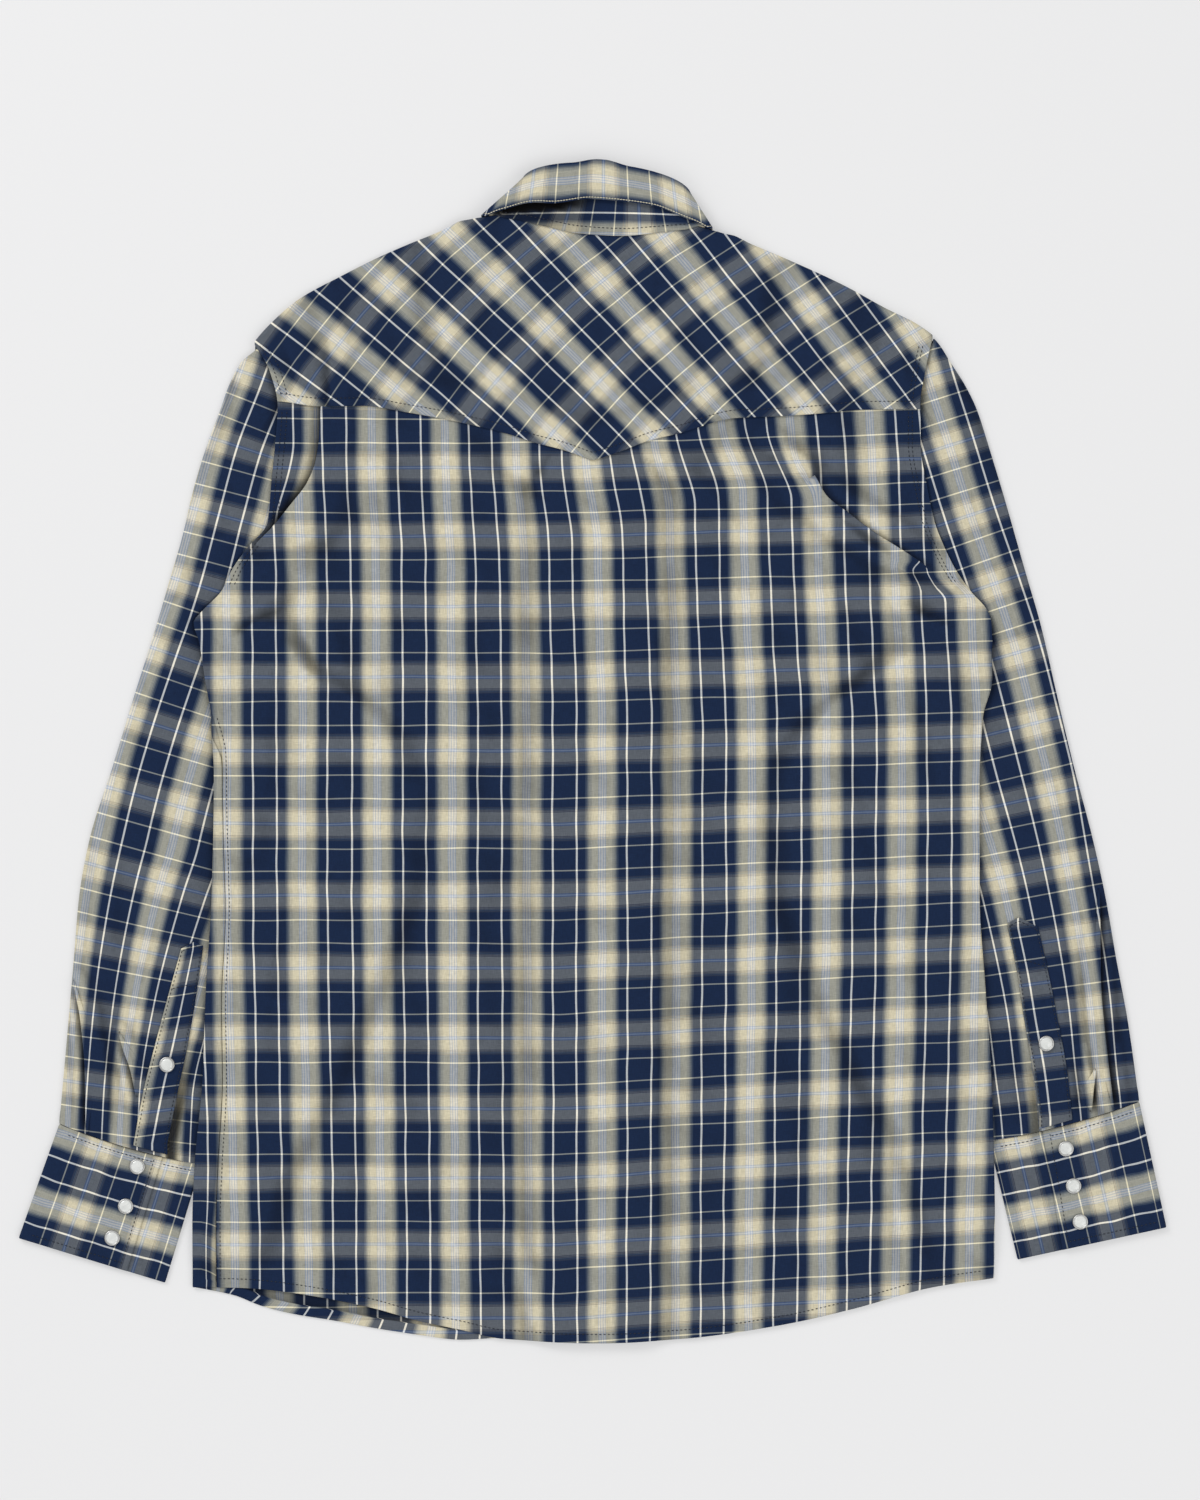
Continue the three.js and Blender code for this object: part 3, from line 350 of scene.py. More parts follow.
def sleeveRise(name, x, y):
    sign = sides[name]["sign"]
    inward = sign * (sleeveOuter[name](y) - x)
    shown = np.maximum(6, sign * (sleeveOuter[name](y) - bodySides[name](y)))
    crown = np.minimum(2.6, shown * 0.05) * np.sin(np.pi * np.clip(inward / shown, 0, 1))
    folds = np.maximum.reduce([ridge(f, x, y) for f in sleeveFolds[name]])
    laps = sum(lip(points, rise, fade, side, x, y) for points, rise, fade, side in sleeveLips[name])
    seen = step(shown, shown * 0.6, inward)
    return 0.7 * seen + crown + folds + laps + (ripple(x, y, 0.14, 15, 0.3) + 0.1) * seen


def armholeRaise(name, x, y):
    side = sides[name]
    outward = side["sign"] * (x - bodySides[name](y))
    return 1.4 * step(32, 14, outward) * step(side["underarmY"] - 16, side["underarmY"] + 6, y)


def sleeveUnderZ(name, x, y):
    return cloth["floor"] + armholeRaise(name, x, y)


def sleeveOverZ(name, x, y):
    return cloth["floor"] + cloth["layer"] + armholeRaise(name, x, y) + sleeveRise(name, x, y)


# The plaid's place on each panel: (warp, weft) counted in repeats, whole numbers at beige centres
plaid = {"warp": 52.5, "sleeveWeft": 50.8}

# How the diagonal fold at the right armhole moves the warp sideways
rightBend = {
    "size": curve([(-280, 3.5), (-152, 3.5), (-100, 4.6), (-43, 7.7), (5, 11.3), (52, 15), (98, 18.4),
                   (146, 20.8), (195, 18), (245, 18)]),
    "lean": curve([(-400, 0), (20, 0), (60, 0.1), (100, 0.2), (135, 0.27), (200, 0.35), (240, 0.5)]),
    "place": curve([(-280, 165), (-91, 168), (-43, 170), (5, 180), (52, 195), (98, 205), (130, 200),
                    (155, 183), (178, 157), (197, 143), (219, 129), (240, 115)]),
    "half": curve([(-280, 40), (5, 36), (52, 32), (98, 26), (130, 22), (155, 12), (178, 10), (240, 10)]),
}
backRows = curve(
    [(-446, -9), (-395, -8), (-343.6, -7), (-297, -6), (-248.6, -5), (-199.2, -4), (-149.9, -3), (-99.6, -2),
     (-49.4, -1), (2, 0), (53.2, 1), (103, 2), (152, 3), (199.5, 4), (252, 5), (304, 6)]
)


# over=True reads the free edge of a lap, which carries on the plaid of its raised side
def onBack(x, y, over=False):
    lap = backLaps["left"]
    if not over:
        beside = step(11, 4, lapPast(lap, x, y)) * step(-250, -240, x - 0.25 * (y - 190))
        x = x - lap["hidden"] * step(148, 215, y) * beside
    place, half = rightBend["place"](x), rightBend["half"](x)
    jump = step(place - half, place + half, y)
    atLap = lapAmount("right", y) * step(142, 160, x)
    jump = mix(jump, 0 if over else step(9, 0, lapPast(backLaps["right"], x, y)), atLap)
    shift = rightBend["size"](x) * (rightBend["lean"](y) + 0.75 * jump)
    width = curve([(-414, 51.2), (-340, 51.4), (-60, 52.4), (240, 52.3)])(y)
    warp = (x - 6.6 + shift + ripple(x, y, 0.4, 26, 0.4)) / width
    drop = (0.025 + 0.037 * np.clip((100 - y) / 400, 0, 1)) * np.maximum(0, x + 23)
    weft = backRows(y - drop + ripple(x, y, 0.45, 30, 1.1) + 1.4)
    return warp, weft


def onYoke(x, y):
    px, py = x / 100, (y - 300) / 100  # fitted to the beige crossings, in hundreds of millimetres
    warp = yokeFit["warp"]
    weft = yokeFit["weft"]
    terms = [1, px, py, px * px, px * py, py * py]
    wave = ripple(x, y, 0.006, 24, 0.5)
    return sum(c * t for c, t in zip(warp, terms)) + wave, sum(c * t for c, t in zip(weft, terms)) + wave


yokeFit = {
    "warp": (2.52, 1.43, 1.354, 0.071, -0.062, -0.11),
    "weft": (2.355, 1.297, -1.477, -0.076, -0.116, -0.183),
}


# Plaid that runs with a sleeve: rows are (y, x) down a beige column, phase where a beige row crosses it
def alongAxis(rows, phase, narrow, slip, shear):
    line = curve(rows)
    ys = np.linspace(-420, 330, 1500)
    xs = line(ys)
    lengths = np.concatenate([[0], np.cumsum(np.hypot(np.diff(xs), np.diff(ys)))])
    lengths = lengths - np.interp(phase, ys, lengths)

    def read(x, y):
        foot = np.array(y, float)
        for _ in range(6):
            tilt = (line(foot + 6) - line(foot - 6)) / 12
            foot = y + tilt * (x - line(foot))
        reach = (x - line(foot)) * np.sqrt(1 + tilt * tilt)
        lower = slip(foot) + shear * reach * step(0, -100, foot)
        along = np.interp(foot, ys, lengths) + lower
        return reach / (plaid["warp"] * narrow(foot)), along / plaid["sleeveWeft"]

    return read


# Left sleeve: a beige column just inside its outer fold; right sleeve: one nearer its middle
sleevePlaid = {
    "left": alongAxis(
        [(300, -236), (261.3, -248.9), (219.3, -265.0), (171.0, -278.3), (120.6, -291.6), (70.9, -308.4),
         (22.6, -324.5), (-26.4, -338.5), (-76.8, -349.7), (-127.2, -357.4), (-174.1, -362.3), (-209.1, -364.4),
         (-265.1, -367.2), (-300, -368.5)],
        120.6,
        curve([(-300, 0.7), (-240, 0.7), (-174, 0.79), (-90, 0.94), (-50, 1.0), (300, 1.0)]),
        curve([(-300, 4), (-216, 5.6), (-174, 7), (-132, 6.3), (-90, 5.6), (-48, 2.8), (-6, 0), (300, 0)]),
        0.09,
    ),
    "right": alongAxis(
        [(300, 224), (265, 233), (217.2, 248.1), (165.4, 264.2), (118.5, 280.3), (68.8, 296.4), (19.8, 309.0),
         (-28.5, 320.9), (-79.6, 331.4), (-129.3, 340.5), (-176.9, 347.5), (-220.3, 351.7), (-251.1, 355.3),
         (-300, 359)],
        68.8,
        curve([(-300, 0.8), (-250, 0.8), (-90, 0.88), (0, 1.0), (300, 1.0)]),
        curve([(-300, 0), (300, 0)]),
        0.0,
    ),
}


# Meshes from grids of points

def spaced(size, pitch):
    inner = np.linspace(0, 1, max(2, round(size / pitch)) + 1)
    edges = [0.5 / size, 1.4 / size]
    return np.unique(np.concatenate([inner, edges, [1 - e for e in edges]]))


def settle(xOf, yOf, startY):
    y = startY
    x = xOf(y)
    for _ in range(10):
        y = mix(y, yOf(x), 0.8)
        x = xOf(y)
    return x, y


def neighbours(grid, closed):
    if closed:
        across = np.roll(grid, -1, axis=1) - np.roll(grid, 1, axis=1)
    else:
        across = np.concatenate([grid[:, 1:], grid[:, -1:]], 1) - np.concatenate([grid[:, :1], grid[:, :-1]], 1)
    down = np.concatenate([grid[1:], grid[-1:]], 0) - np.concatenate([grid[:1], grid[:-1]], 0)
    normal = np.cross(across, down)
    return normal / np.maximum(1e-9, np.linalg.norm(normal, axis=2, keepdims=True))


# How far each point lies under the cloth round it: painted shade, which the material darkens a little in these
# hollows
def hollowShadeOf(grid, closed):
    z = grid[..., 2]
    near = z.copy()
    for _ in range(9):
        if closed:
            near = (near + np.roll(near, 1, 1) + np.roll(near, -1, 1)) / 3
        else:
            wide = np.pad(near, ((0, 0), (1, 1)), mode="edge")
            near = (wide[:, :-2] + wide[:, 1:-1] + wide[:, 2:]) / 3
        wide = np.pad(near, ((1, 1), (0, 0)), mode="edge")
        near = (wide[:-2] + wide[1:-1] + wide[2:]) / 3
    facing = np.abs(neighbours(grid, closed)[..., 2])
    return np.clip(near - z, 0, 0.9) * step(0.5, 0.9, facing)


def makeObject(name, points, faces, uv, material, paintedShade=None):
    mesh = bpy.data.meshes.new(name)
    mesh.from_pydata((np.asarray(points) * 0.001).tolist(), [], np.asarray(faces).tolist())
    mesh.polygons.foreach_set("use_smooth", np.ones(len(mesh.polygons), bool))
    if uv is not None:
        layer = mesh.uv_layers.new(name="cloth")
        corners = np.empty(len(mesh.loops), int)
        mesh.loops.foreach_get("vertex_index", corners)
        layer.data.foreach_set("uv", np.asarray(uv, float)[corners].ravel())
    # Painted shade per point, kept for the plaid material to darken its colour
    if paintedShade is not None:
        mesh.attributes.new("paintedShade", "FLOAT", "POINT").data.foreach_set("value", np.asarray(paintedShade, float))
    mesh.materials.append(material)
    mesh.update()
    made = bpy.data.objects.new(name, mesh)
    bpy.context.collection.objects.link(made)
    return made


def clothObject(name, grid, uv, material, closed=False, wall=None, soft=(True, True, True, True), shade=0.0):
    rows, cols = grid.shape[:2]
    normal = neighbours(grid, closed)
    half = np.full((rows, cols, 1), (wall or cloth["wall"]) / 2)
    for n, share in enumerate((0.3, 0.75)):  # rounded edges: first and last rows, first and last columns
        if soft[0]:
            half[n] *= share
        if soft[1]:
            half[-1 - n] *= share
        if soft[2] and not closed:
            half[:, n] *= share
        if soft[3] and not closed:
            half[:, -1 - n] *= share
    points = np.concatenate([(grid + normal * half).reshape(-1, 3), (grid - normal * half).reshape(-1, 3)])
    index = np.arange(rows * cols).reshape(rows, cols)
    if closed:
        index = np.concatenate([index, index[:, :1]], 1)
    under = index + rows * cols

    def quads(a, b, c, d):
        return np.stack([a.ravel(), b.ravel(), c.ravel(), d.ravel()], 1)

    faces = [
        quads(index[:-1, :-1], index[1:, :-1], index[1:, 1:], index[:-1, 1:]),
        quads(under[:-1, :-1], under[:-1, 1:], under[1:, 1:], under[1:, :-1]),
        quads(index[0, :-1], index[0, 1:], under[0, 1:], under[0, :-1]),
        quads(index[-1, :-1], under[-1, :-1], under[-1, 1:], index[-1, 1:]),
    ]
    if not closed:
        faces.append(quads(index[:-1, 0], under[:-1, 0], under[1:, 0], index[1:, 0]))
        faces.append(quads(index[:-1, -1], index[1:, -1], under[1:, -1], under[:-1, -1]))
    faces = np.concatenate(faces)
    a, b, c, d = (points[faces[:, n]] for n in range(4))
    volume = np.einsum("ij,ij->", a, np.cross(b, c)) + np.einsum("ij,ij->", a, np.cross(c, d))
    if volume < 0:
        faces = faces[:, ::-1]
    flatUv = np.stack([uv[0], uv[1]], 2).reshape(-1, 2)
    # Painted shade: the cloth's hollows plus the shade given for edges and gaps
    paintedShade = np.clip(hollowShadeOf(grid, closed) + shade, 0, 1.5).ravel()
    return makeObject(name, points, faces, np.concatenate([flatUv, flatUv]), material, np.tile(paintedShade, 2))


# Width, length and area of the cut that a grid of cloth came from, in metres
def cutOf(grid, closed=False):
    g = np.concatenate([grid, grid[:, :1]], 1) if closed else grid
    across = np.linalg.norm(np.diff(g, axis=1), axis=2)
    down = np.linalg.norm(np.diff(g, axis=0), axis=2)
    a = np.cross(g[1:, 1:] - g[:-1, :-1], g[1:, :-1] - g[:-1, 1:])
    area = np.linalg.norm(a, axis=2).sum() / 2
    width, length = across.sum(axis=1).max(), down.sum(axis=0).max()
    return width * 0.001, length * 0.001, area * 1e-6


cuts = {}


def declare(piece, node, grid, closed=False):
    width, length, area = cutOf(grid, closed)
    cuts[piece.name] = (round(width, 3), round(length, 3), round(area, 4))
    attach(piece, "root")
    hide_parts(node)


# Row of stitches along a line on the cloth: short dark threads with small gaps
def stitchObject(name, lines, material, size=None):
    size = size or {"stitch": 2.3, "gap": 0.7, "half": 0.34, "rise": 0.2}
    points, faces = [], []
    for line in lines:
        line = np.asarray(line, float)
        lengths = np.concatenate([[0], np.cumsum(np.linalg.norm(np.diff(line, axis=0), axis=1))])
        start = 0.4
        while start + size["stitch"] < lengths[-1]:
            at = [start + k * size["stitch"] for k in (0, 0.5, 1)]
            ends = np.stack([np.interp(at, lengths, line[:, n]) for n in range(3)], 1)
            way = ends[2] - ends[0]
            way = way / max(1e-9, np.linalg.norm(way))
            side = np.array([-way[1], way[0], 0]) * size["half"]
            up = np.array([0, 0, size["half"]])
            base = len(points)
            middle = ends[1] + np.array([0, 0, size["rise"]])
            points += [ends[0], middle + side, middle + up, middle - side, middle - up, ends[2]]
            for k in range(4):
                a, b = base + 1 + k, base + 1 + (k + 1) % 4
                faces += [[base, b, a], [base + 5, a, b]]
            start += size["stitch"] + size["gap"]
    piece = makeObject(name, np.array(points), faces, None, material)
    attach(piece, "root")
    return piece


def onSurface(xs, ys, zOf, lift=None):
    xs, ys = np.asarray(xs, float), np.asarray(ys, float)
    raised = zOf(xs, ys) + (cloth["wall"] / 2 + 0.05 if lift is None else lift)
    return np.stack([xs, ys, raised], 1)


# Materials
def newMaterial(name):
    material = bpy.data.materials.new(name)
    material.use_nodes = True
    tree = material.node_tree
    tree.nodes.clear()
    shader = tree.nodes.new("ShaderNodeBsdfPrincipled")
    output = tree.nodes.new("ShaderNodeOutputMaterial")
    tree.links.new(shader.outputs["BSDF"], output.inputs["Surface"])
    return material, tree, shader


def mathNode(tree, operation, a, b=None, c=None):
    node = tree.nodes.new("ShaderNodeMath")
    node.operation = operation
    for n, value in enumerate((a, b, c)):
        if value is None:
            continue
        if isinstance(value, (int, float)):
            node.inputs[n].default_value = value
        else:
            tree.links.new(value, node.inputs[n])
    return node.outputs[0]


# Threads of one repeat from a beige centre out to the middle of the navy: (millimetres, colour, cover)
shades = {
    "navy": (27, 41, 67), "beige": (206, 199, 172), "white": (249, 247, 238), "pale": (226, 222, 208),
    "blue": (178, 186, 197), "deepBlue": (124, 140, 174), "cream": (250, 240, 205),
    "weftBeige": (199, 188, 162), "weftBlue": (186, 196, 212), "brown": (86, 76, 74),
}
warpThreads = [
    (0.0, "pale", 1), (0.45, "pale", 1), (0.75, "blue", 1), (1.15, "blue", 1), (1.45, "pale", 1),
    (2.1, "pale", 1), (2.4, "blue", 1), (2.65, "blue", 1), (2.95, "beige", 1), (7.3, "beige", 1),
    (7.6, 0.8, 1), (8.0, 0.97, 1), (8.4, 0.72, 1), (8.9, 0.95, 1), (9.4, 0.55, 1), (9.8, 0.8, 1),
    (10.3, 0.34, 1), (10.7, 0.56, 1), (11.2, 0.13, 1), (11.6, 0.3, 1), (12.3, "navy", 1),
    (17.15, "navy", 1), (17.4, "white", 1), (18.5, "white", 1), (18.75, "navy", 1), (26.4, "navy", 1),
]
weftThreads = [
    (0.0, "weftBlue", 0.42), (0.35, "weftBlue", 0.42), (0.65, "deepBlue", 0.38), (1.1, "deepBlue", 0.38),
    (1.4, "weftBeige", 0.35), (8.2, "weftBeige", 0.36), (8.7, "brown", 0.36), (9.2, "weftBeige", 0.34),
    (9.7, "brown", 0.36), (10.2, 0.75, 0.33), (10.7, 0.1, 0.33), (11.1, 0.4, 0.33), (11.6, "brown", 0.32),
    (12.4, "navy", 0.32), (17.4, "navy", 0.32), (17.6, "cream", 0.43), (18.4, "cream", 0.43),
    (18.6, "navy", 0.32), (26.4, "navy", 0.32),
]


def shadeOf(word):
    if isinstance(word, str):
        return [c / 255 for c in shades[word]]
    return [mix(n, b, word) / 255 for n, b in zip(shades["navy"], shades["beige"])]


def threadRamp(tree, place, threads):
    ramp = tree.nodes.new("ShaderNodeValToRGB")
    ramp.color_ramp.interpolation = "LINEAR"
    elements = ramp.color_ramp.elements
    for n, (at, word, cover) in enumerate(threads):
        spot = elements[0] if n == 0 else elements[-1] if n == len(threads) - 1 else elements.new(at / 26.4)
        spot.position = min(1.0, at / 26.4)
        spot.color = [*shadeOf(word), cover]
    tree.links.new(place, ramp.inputs["Fac"])
    return ramp


def plaidMaterial(name, turn=0.0):
    material, tree, shader = newMaterial(name)
    link = tree.links.new
    source = tree.nodes.new("ShaderNodeUVMap")
    source.uv_map = "cloth"
    split = tree.nodes.new("ShaderNodeSeparateXYZ")
    link(source.outputs["UV"], split.inputs["Vector"])

    def half(value):  # distance from the nearest beige centre, 0 to 1
        return mathNode(tree, "MULTIPLY", mathNode(tree, "PINGPONG", value, 0.5), 2.0)

    warp = threadRamp(tree, half(split.outputs["X"]), warpThreads)
    weft = threadRamp(tree, half(split.outputs["Y"]), weftThreads)
    woven = tree.nodes.new("ShaderNodeMix")
    woven.data_type = "RGBA"
    link(weft.outputs["Alpha"], woven.inputs[0])
    link(warp.outputs["Color"], woven.inputs[6])
    link(weft.outputs["Color"], woven.inputs[7])

    # Uneven yarns along both ways, then the cloth's soft mottling, darkened by the painted shade kept on each
    # mesh
    def streaks(across, along, detail):
        stretch = tree.nodes.new("ShaderNodeMapping")
        stretch.inputs["Scale"].default_value = (across, along, 1)
        link(source.outputs["UV"], stretch.inputs["Vector"])
        noise = tree.nodes.new("ShaderNodeTexNoise")
        noise.inputs["Scale"].default_value = 1.0
        noise.inputs["Detail"].default_value = detail
        link(stretch.outputs["Vector"], noise.inputs["Vector"])
        return noise.outputs["Fac"]

    grain = mathNode(tree, "ADD", streaks(120, 9, 2), streaks(9, 120, 2))
    mottledAndShaded = mathNode(tree, "MULTIPLY_ADD", grain, 0.26, 0.74)
    # Painted shade: the colour is darkened where the mesh's painted shade attribute is high
    paintedShadeReader = tree.nodes.new("ShaderNodeAttribute")
    paintedShadeReader.attribute_name = "paintedShade"
    dimmed = mathNode(tree, "MULTIPLY_ADD", paintedShadeReader.outputs["Fac"], -0.62, 1.0)
    mottledAndShaded = mathNode(tree, "MULTIPLY", mottledAndShaded, dimmed)
    tint = tree.nodes.new("ShaderNodeMix")
    tint.data_type = "RGBA"
    tint.blend_type = "MULTIPLY"
    tint.inputs[0].default_value = 1.0
    link(woven.outputs[2], tint.inputs[6])
    link(mottledAndShaded, tint.inputs[7])
    display = tree.nodes.new("ShaderNodeGamma")
    display.inputs["Gamma"].default_value = 2.2
    link(tint.outputs[2], display.inputs["Color"])
    link(display.outputs["Color"], shader.inputs["Base Color"])

    def threadHeight(value):
        return mathNode(tree, "SINE", mathNode(tree, "MULTIPLY", value, 2 * math.pi * 120))

    weave = mathNode(tree, "MULTIPLY", threadHeight(split.outputs["X"]), threadHeight(split.outputs["Y"]))
    place = tree.nodes.new("ShaderNodeTexCoord")
    creased = tree.nodes.new("ShaderNodeTexNoise")
    creased.inputs["Scale"].default_value = 85.0
    creased.inputs["Detail"].default_value = 3.0
    link(place.outputs["Object"], creased.inputs["Vector"])
    fine = tree.nodes.new("ShaderNodeBump")
    fine.inputs["Strength"].default_value = 0.12
    fine.inputs["Distance"].default_value = 0.0002
    link(weave, fine.inputs["Height"])
    soft = tree.nodes.new("ShaderNodeBump")
    soft.inputs["Strength"].default_value = 0.34
    soft.inputs["Distance"].default_value = 0.0016
    link(creased.outputs["Fac"], soft.inputs["Height"])
    link(fine.outputs["Normal"], soft.inputs["Normal"])
    link(soft.outputs["Normal"], shader.inputs["Normal"])
    shader.inputs["Roughness"].default_value = 0.86
    shader.inputs["Specular IOR Level"].default_value = 0.12
    shader.inputs["Sheen Weight"].default_value = 0.02
    shader.inputs["Sheen Roughness"].default_value = 0.5
    return material


def threadMaterial(name, colour):
    material, tree, shader = newMaterial(name)
    place = tree.nodes.new("ShaderNodeTexCoord")
    noise = tree.nodes.new("ShaderNodeTexNoise")
    noise.inputs["Scale"].default_value = 900.0
    tree.links.new(place.outputs["Object"], noise.inputs["Vector"])
    tone = tree.nodes.new("ShaderNodeMix")
    tone.data_type = "RGBA"
    tone.inputs[6].default_value = [c * 0.8 for c in colour] + [1]
    tone.inputs[7].default_value = [c * 1.2 for c in colour] + [1]
    tree.links.new(noise.outputs["Fac"], tone.inputs[0])
    tree.links.new(tone.outputs[2], shader.inputs["Base Color"])
    shader.inputs["Roughness"].default_value = 0.6
    return material


def pearlMaterial():
    material, tree, shader = newMaterial("pearl")
    place = tree.nodes.new("ShaderNodeTexCoord")
    cloud = tree.nodes.new("ShaderNodeTexNoise")
    cloud.inputs["Scale"].default_value = 160.0
    cloud.inputs["Detail"].default_value = 2.0
    cloud.inputs["Distortion"].default_value = 1.2
    tree.links.new(place.outputs["Object"], cloud.inputs["Vector"])
    tone = tree.nodes.new("ShaderNodeMix")
    tone.data_type = "RGBA"
    tone.inputs[6].default_value = (0.52, 0.54, 0.53, 1)
    tone.inputs[7].default_value = (0.82, 0.83, 0.80, 1)
    tree.links.new(cloud.outputs["Fac"], tone.inputs[0])
    tree.links.new(tone.outputs[2], shader.inputs["Base Color"])
    shader.inputs["Roughness"].default_value = 0.22
    shader.inputs["Coat Weight"].default_value = 0.5
    shader.inputs["Coat Roughness"].default_value = 0.1
    return material


def metalMaterial():
    material, tree, shader = newMaterial("snapRing")
    place = tree.nodes.new("ShaderNodeTexCoord")
    wear = tree.nodes.new("ShaderNodeTexNoise")
    wear.inputs["Scale"].default_value = 700.0
    tree.links.new(place.outputs["Object"], wear.inputs["Vector"])
    worn = mathNode(tree, "MULTIPLY_ADD", wear.outputs["Fac"], 0.14, 0.32)
    tree.links.new(worn, shader.inputs["Roughness"])
    shader.inputs["Base Color"].default_value = (0.5, 0.5, 0.49, 1)
    shader.inputs["Metallic"].default_value = 1.0
    return material


plaidCloth = plaidMaterial("plaidCloth")
darkThread = threadMaterial("darkThread", (0.012, 0.016, 0.03))
creamThread = threadMaterial("creamThread", (0.62, 0.58, 0.44))
pearl = pearlMaterial()
snapRing = metalMaterial()
print("materials made")

# Edges that turn over
turnSteps = np.linspace(0, 1, 12)[1:]


def turnOver(fromZ, toZ, amount, reach, k):
    radius = np.abs(fromZ - toZ) / 2
    angle = np.pi * amount * min(1, k / 0.6)
    strip = max(0, (k - 0.6) / 0.4) * reach * amount
    start = (0.5 + radius) * amount
    inward = start - radius * np.sin(angle) + strip * np.maximum(0, -np.cos(angle))
    return inward, fromZ + np.sign(toZ - fromZ) * radius * (1 - np.cos(angle))


def wrapAmount(y):
    return step(30, -10, y)


def wrapWidth(y):
    return 16.5 - 5.5 * step(-300, -150, y) - 5.0 * step(-150, -20, y)


def backLeftX(y):
    return bodySides["left"](y) + wrapAmount(y - 7) * (wrapWidth(y) + 0.5)


def rightTurn(y):
    return step(84, 66, y)


def rightRadius(y):
    x = bodySides["right"](y)
    return (backZ(x, y) - outerFrontZ(x, y)) / 2


def shoulderTurn(x, start=86):
    return step(start, start + 26, np.abs(x - centreX))


def shoulderRadius(x):
    return (yokeZ(x, yokeTop(x)) - outerFrontZ(x, yokeTop(x))) / 2


def frontTop(x):
    return yokeTop(x) - shoulderTurn(x, 78) * (12.5 + shoulderRadius(x)) - 0.6


# Back
def makeBack():
    u = spaced(550, 3.0)[None, :]
    v = spaced(640, 3.0)[:, None]

    def xOf(y):
        return mix(backLeftX(y), bodySides["right"](y) - (0.5 + rightRadius(y)) * rightTurn(y), u)

    def yOf(x):
        return mix(yokeLow(x) + 8, hems["back"](x), v)

    x, y = settle(xOf, yOf, mix(238.0, -390.0, v) + 0 * u)
    z = backZ(x, y)
    grid = np.stack([x, y, z], 2)
    edgeY, edgeZ = y[:, -1], z[:, -1]
    edgeX = bodySides["right"](edgeY)
    turned = []
    for k in turnSteps:
        inward, height = turnOver(edgeZ, outerFrontZ(edgeX, edgeY), rightTurn(edgeY), 6.0, k)
        turned.append(np.stack([edgeX - inward + 0.3 * k * (1 - rightTurn(edgeY)), edgeY, height], 1))
    grid = np.concatenate([grid, np.stack(turned, 1)], 1)
    x, y = grid[..., 0], grid[..., 1]
    # Painted shadow beside the free edges of the left pleat and the right crease, which the material darkens
    pleatShade = lapShade(lapPast(backLaps["left"], x, y), 10) * lapAmount("left", y)
    creaseShade = lapShade(lapPast(backLaps["right"], x, y), 8) * lapAmount("right", y) * step(148, 162, x)
    return grid, onBack(x, y), 0.75 * pleatShade + 0.6 * creaseShade


backGrid, backUv, backShade = makeBack()
back = clothObject("clothBack", backGrid, backUv, plaidCloth, shade=backShade)
print("back", len(back.data.polygons))


# Yoke, over the shoulders
def makeYoke():
    u = spaced(474, 2.6)[None, :]
    v = spaced(170, 2.4)[:, None]

    def xOf(y):
        return mix(bodySides["left"](y), bodySides["right"](y), u)

    def yOf(x):
        return mix(yokeLow(x), yokeTop(x) - (0.5 + shoulderRadius(x)) * shoulderTurn(x), v)

    x, y = settle(xOf, yOf, mix(235.0, 330.0, v) + 0 * u)
    grid = np.stack([x, y, yokeZ(x, y)], 2)
    x, z = grid[-1, :, 0], grid[-1, :, 2]
    rows = []
    for k in turnSteps:
        inward, height = turnOver(z, outerFrontZ(x, yokeTop(x)), shoulderTurn(x), 12.0, k)
        rows.append(np.stack([x, yokeTop(x) - inward + 0.3 * k * (1 - shoulderTurn(x)), height], 1))
    grid = np.concatenate([grid, np.stack(rows, 0)], 0)
    return grid, onYoke(grid[..., 0], grid[..., 1])


yokeGrid, yokeUv = makeYoke()
yoke = clothObject("clothYoke", yokeGrid, yokeUv, plaidCloth)
print("yoke", len(yoke.data.polygons))

# Neck loops: half width, height, tilt, depth on the back, depth on the front
loops = {
    "seam": (3.0, 76.0, 371.6, -4.3, -8.0, 80.0), "neck": (3.0, 76.6, 371.6, -4.3, -8.0, 80.6),
    "standTop": (8.0, 60.5, 388.4, -4.7, 10.0, 68.0), "start": (8.0, 59.9, 389.7, -4.7, 10.0, 68.7),
    "fold": (9.7, 57.0, 396.4, -4.9, 16.4, 72.0), "edge": (3.1, 80.9, 369.2, -4.5, 18.3, 141.0),
}


def loopPoint(name, degrees):
    x, half, y, tilt, depthBack, depthFront = loops[name]
    sin, cos = np.sin(np.radians(degrees)), np.cos(np.radians(degrees))
    down = np.maximum(0, -cos - 0.2) / 0.8
    depth = np.where(cos > 0, depthBack * cos, -depthFront * down ** 0.9)
    return x + half * sin, y + tilt * sin + depth


def upperHalf(degrees):
    return step(-0.2, 0.2, np.cos(np.radians(degrees)))


def nearBand(x):
    return step(34, 19, np.abs(x - centreX))


def neckY(x):  # neckline of the fronts by distance across
    sin = np.clip((x - 3.0) / 76.6, -1, 1)
    return loopPoint("neck", 180 - np.degrees(np.arcsin(sin)))[1] - 0.6


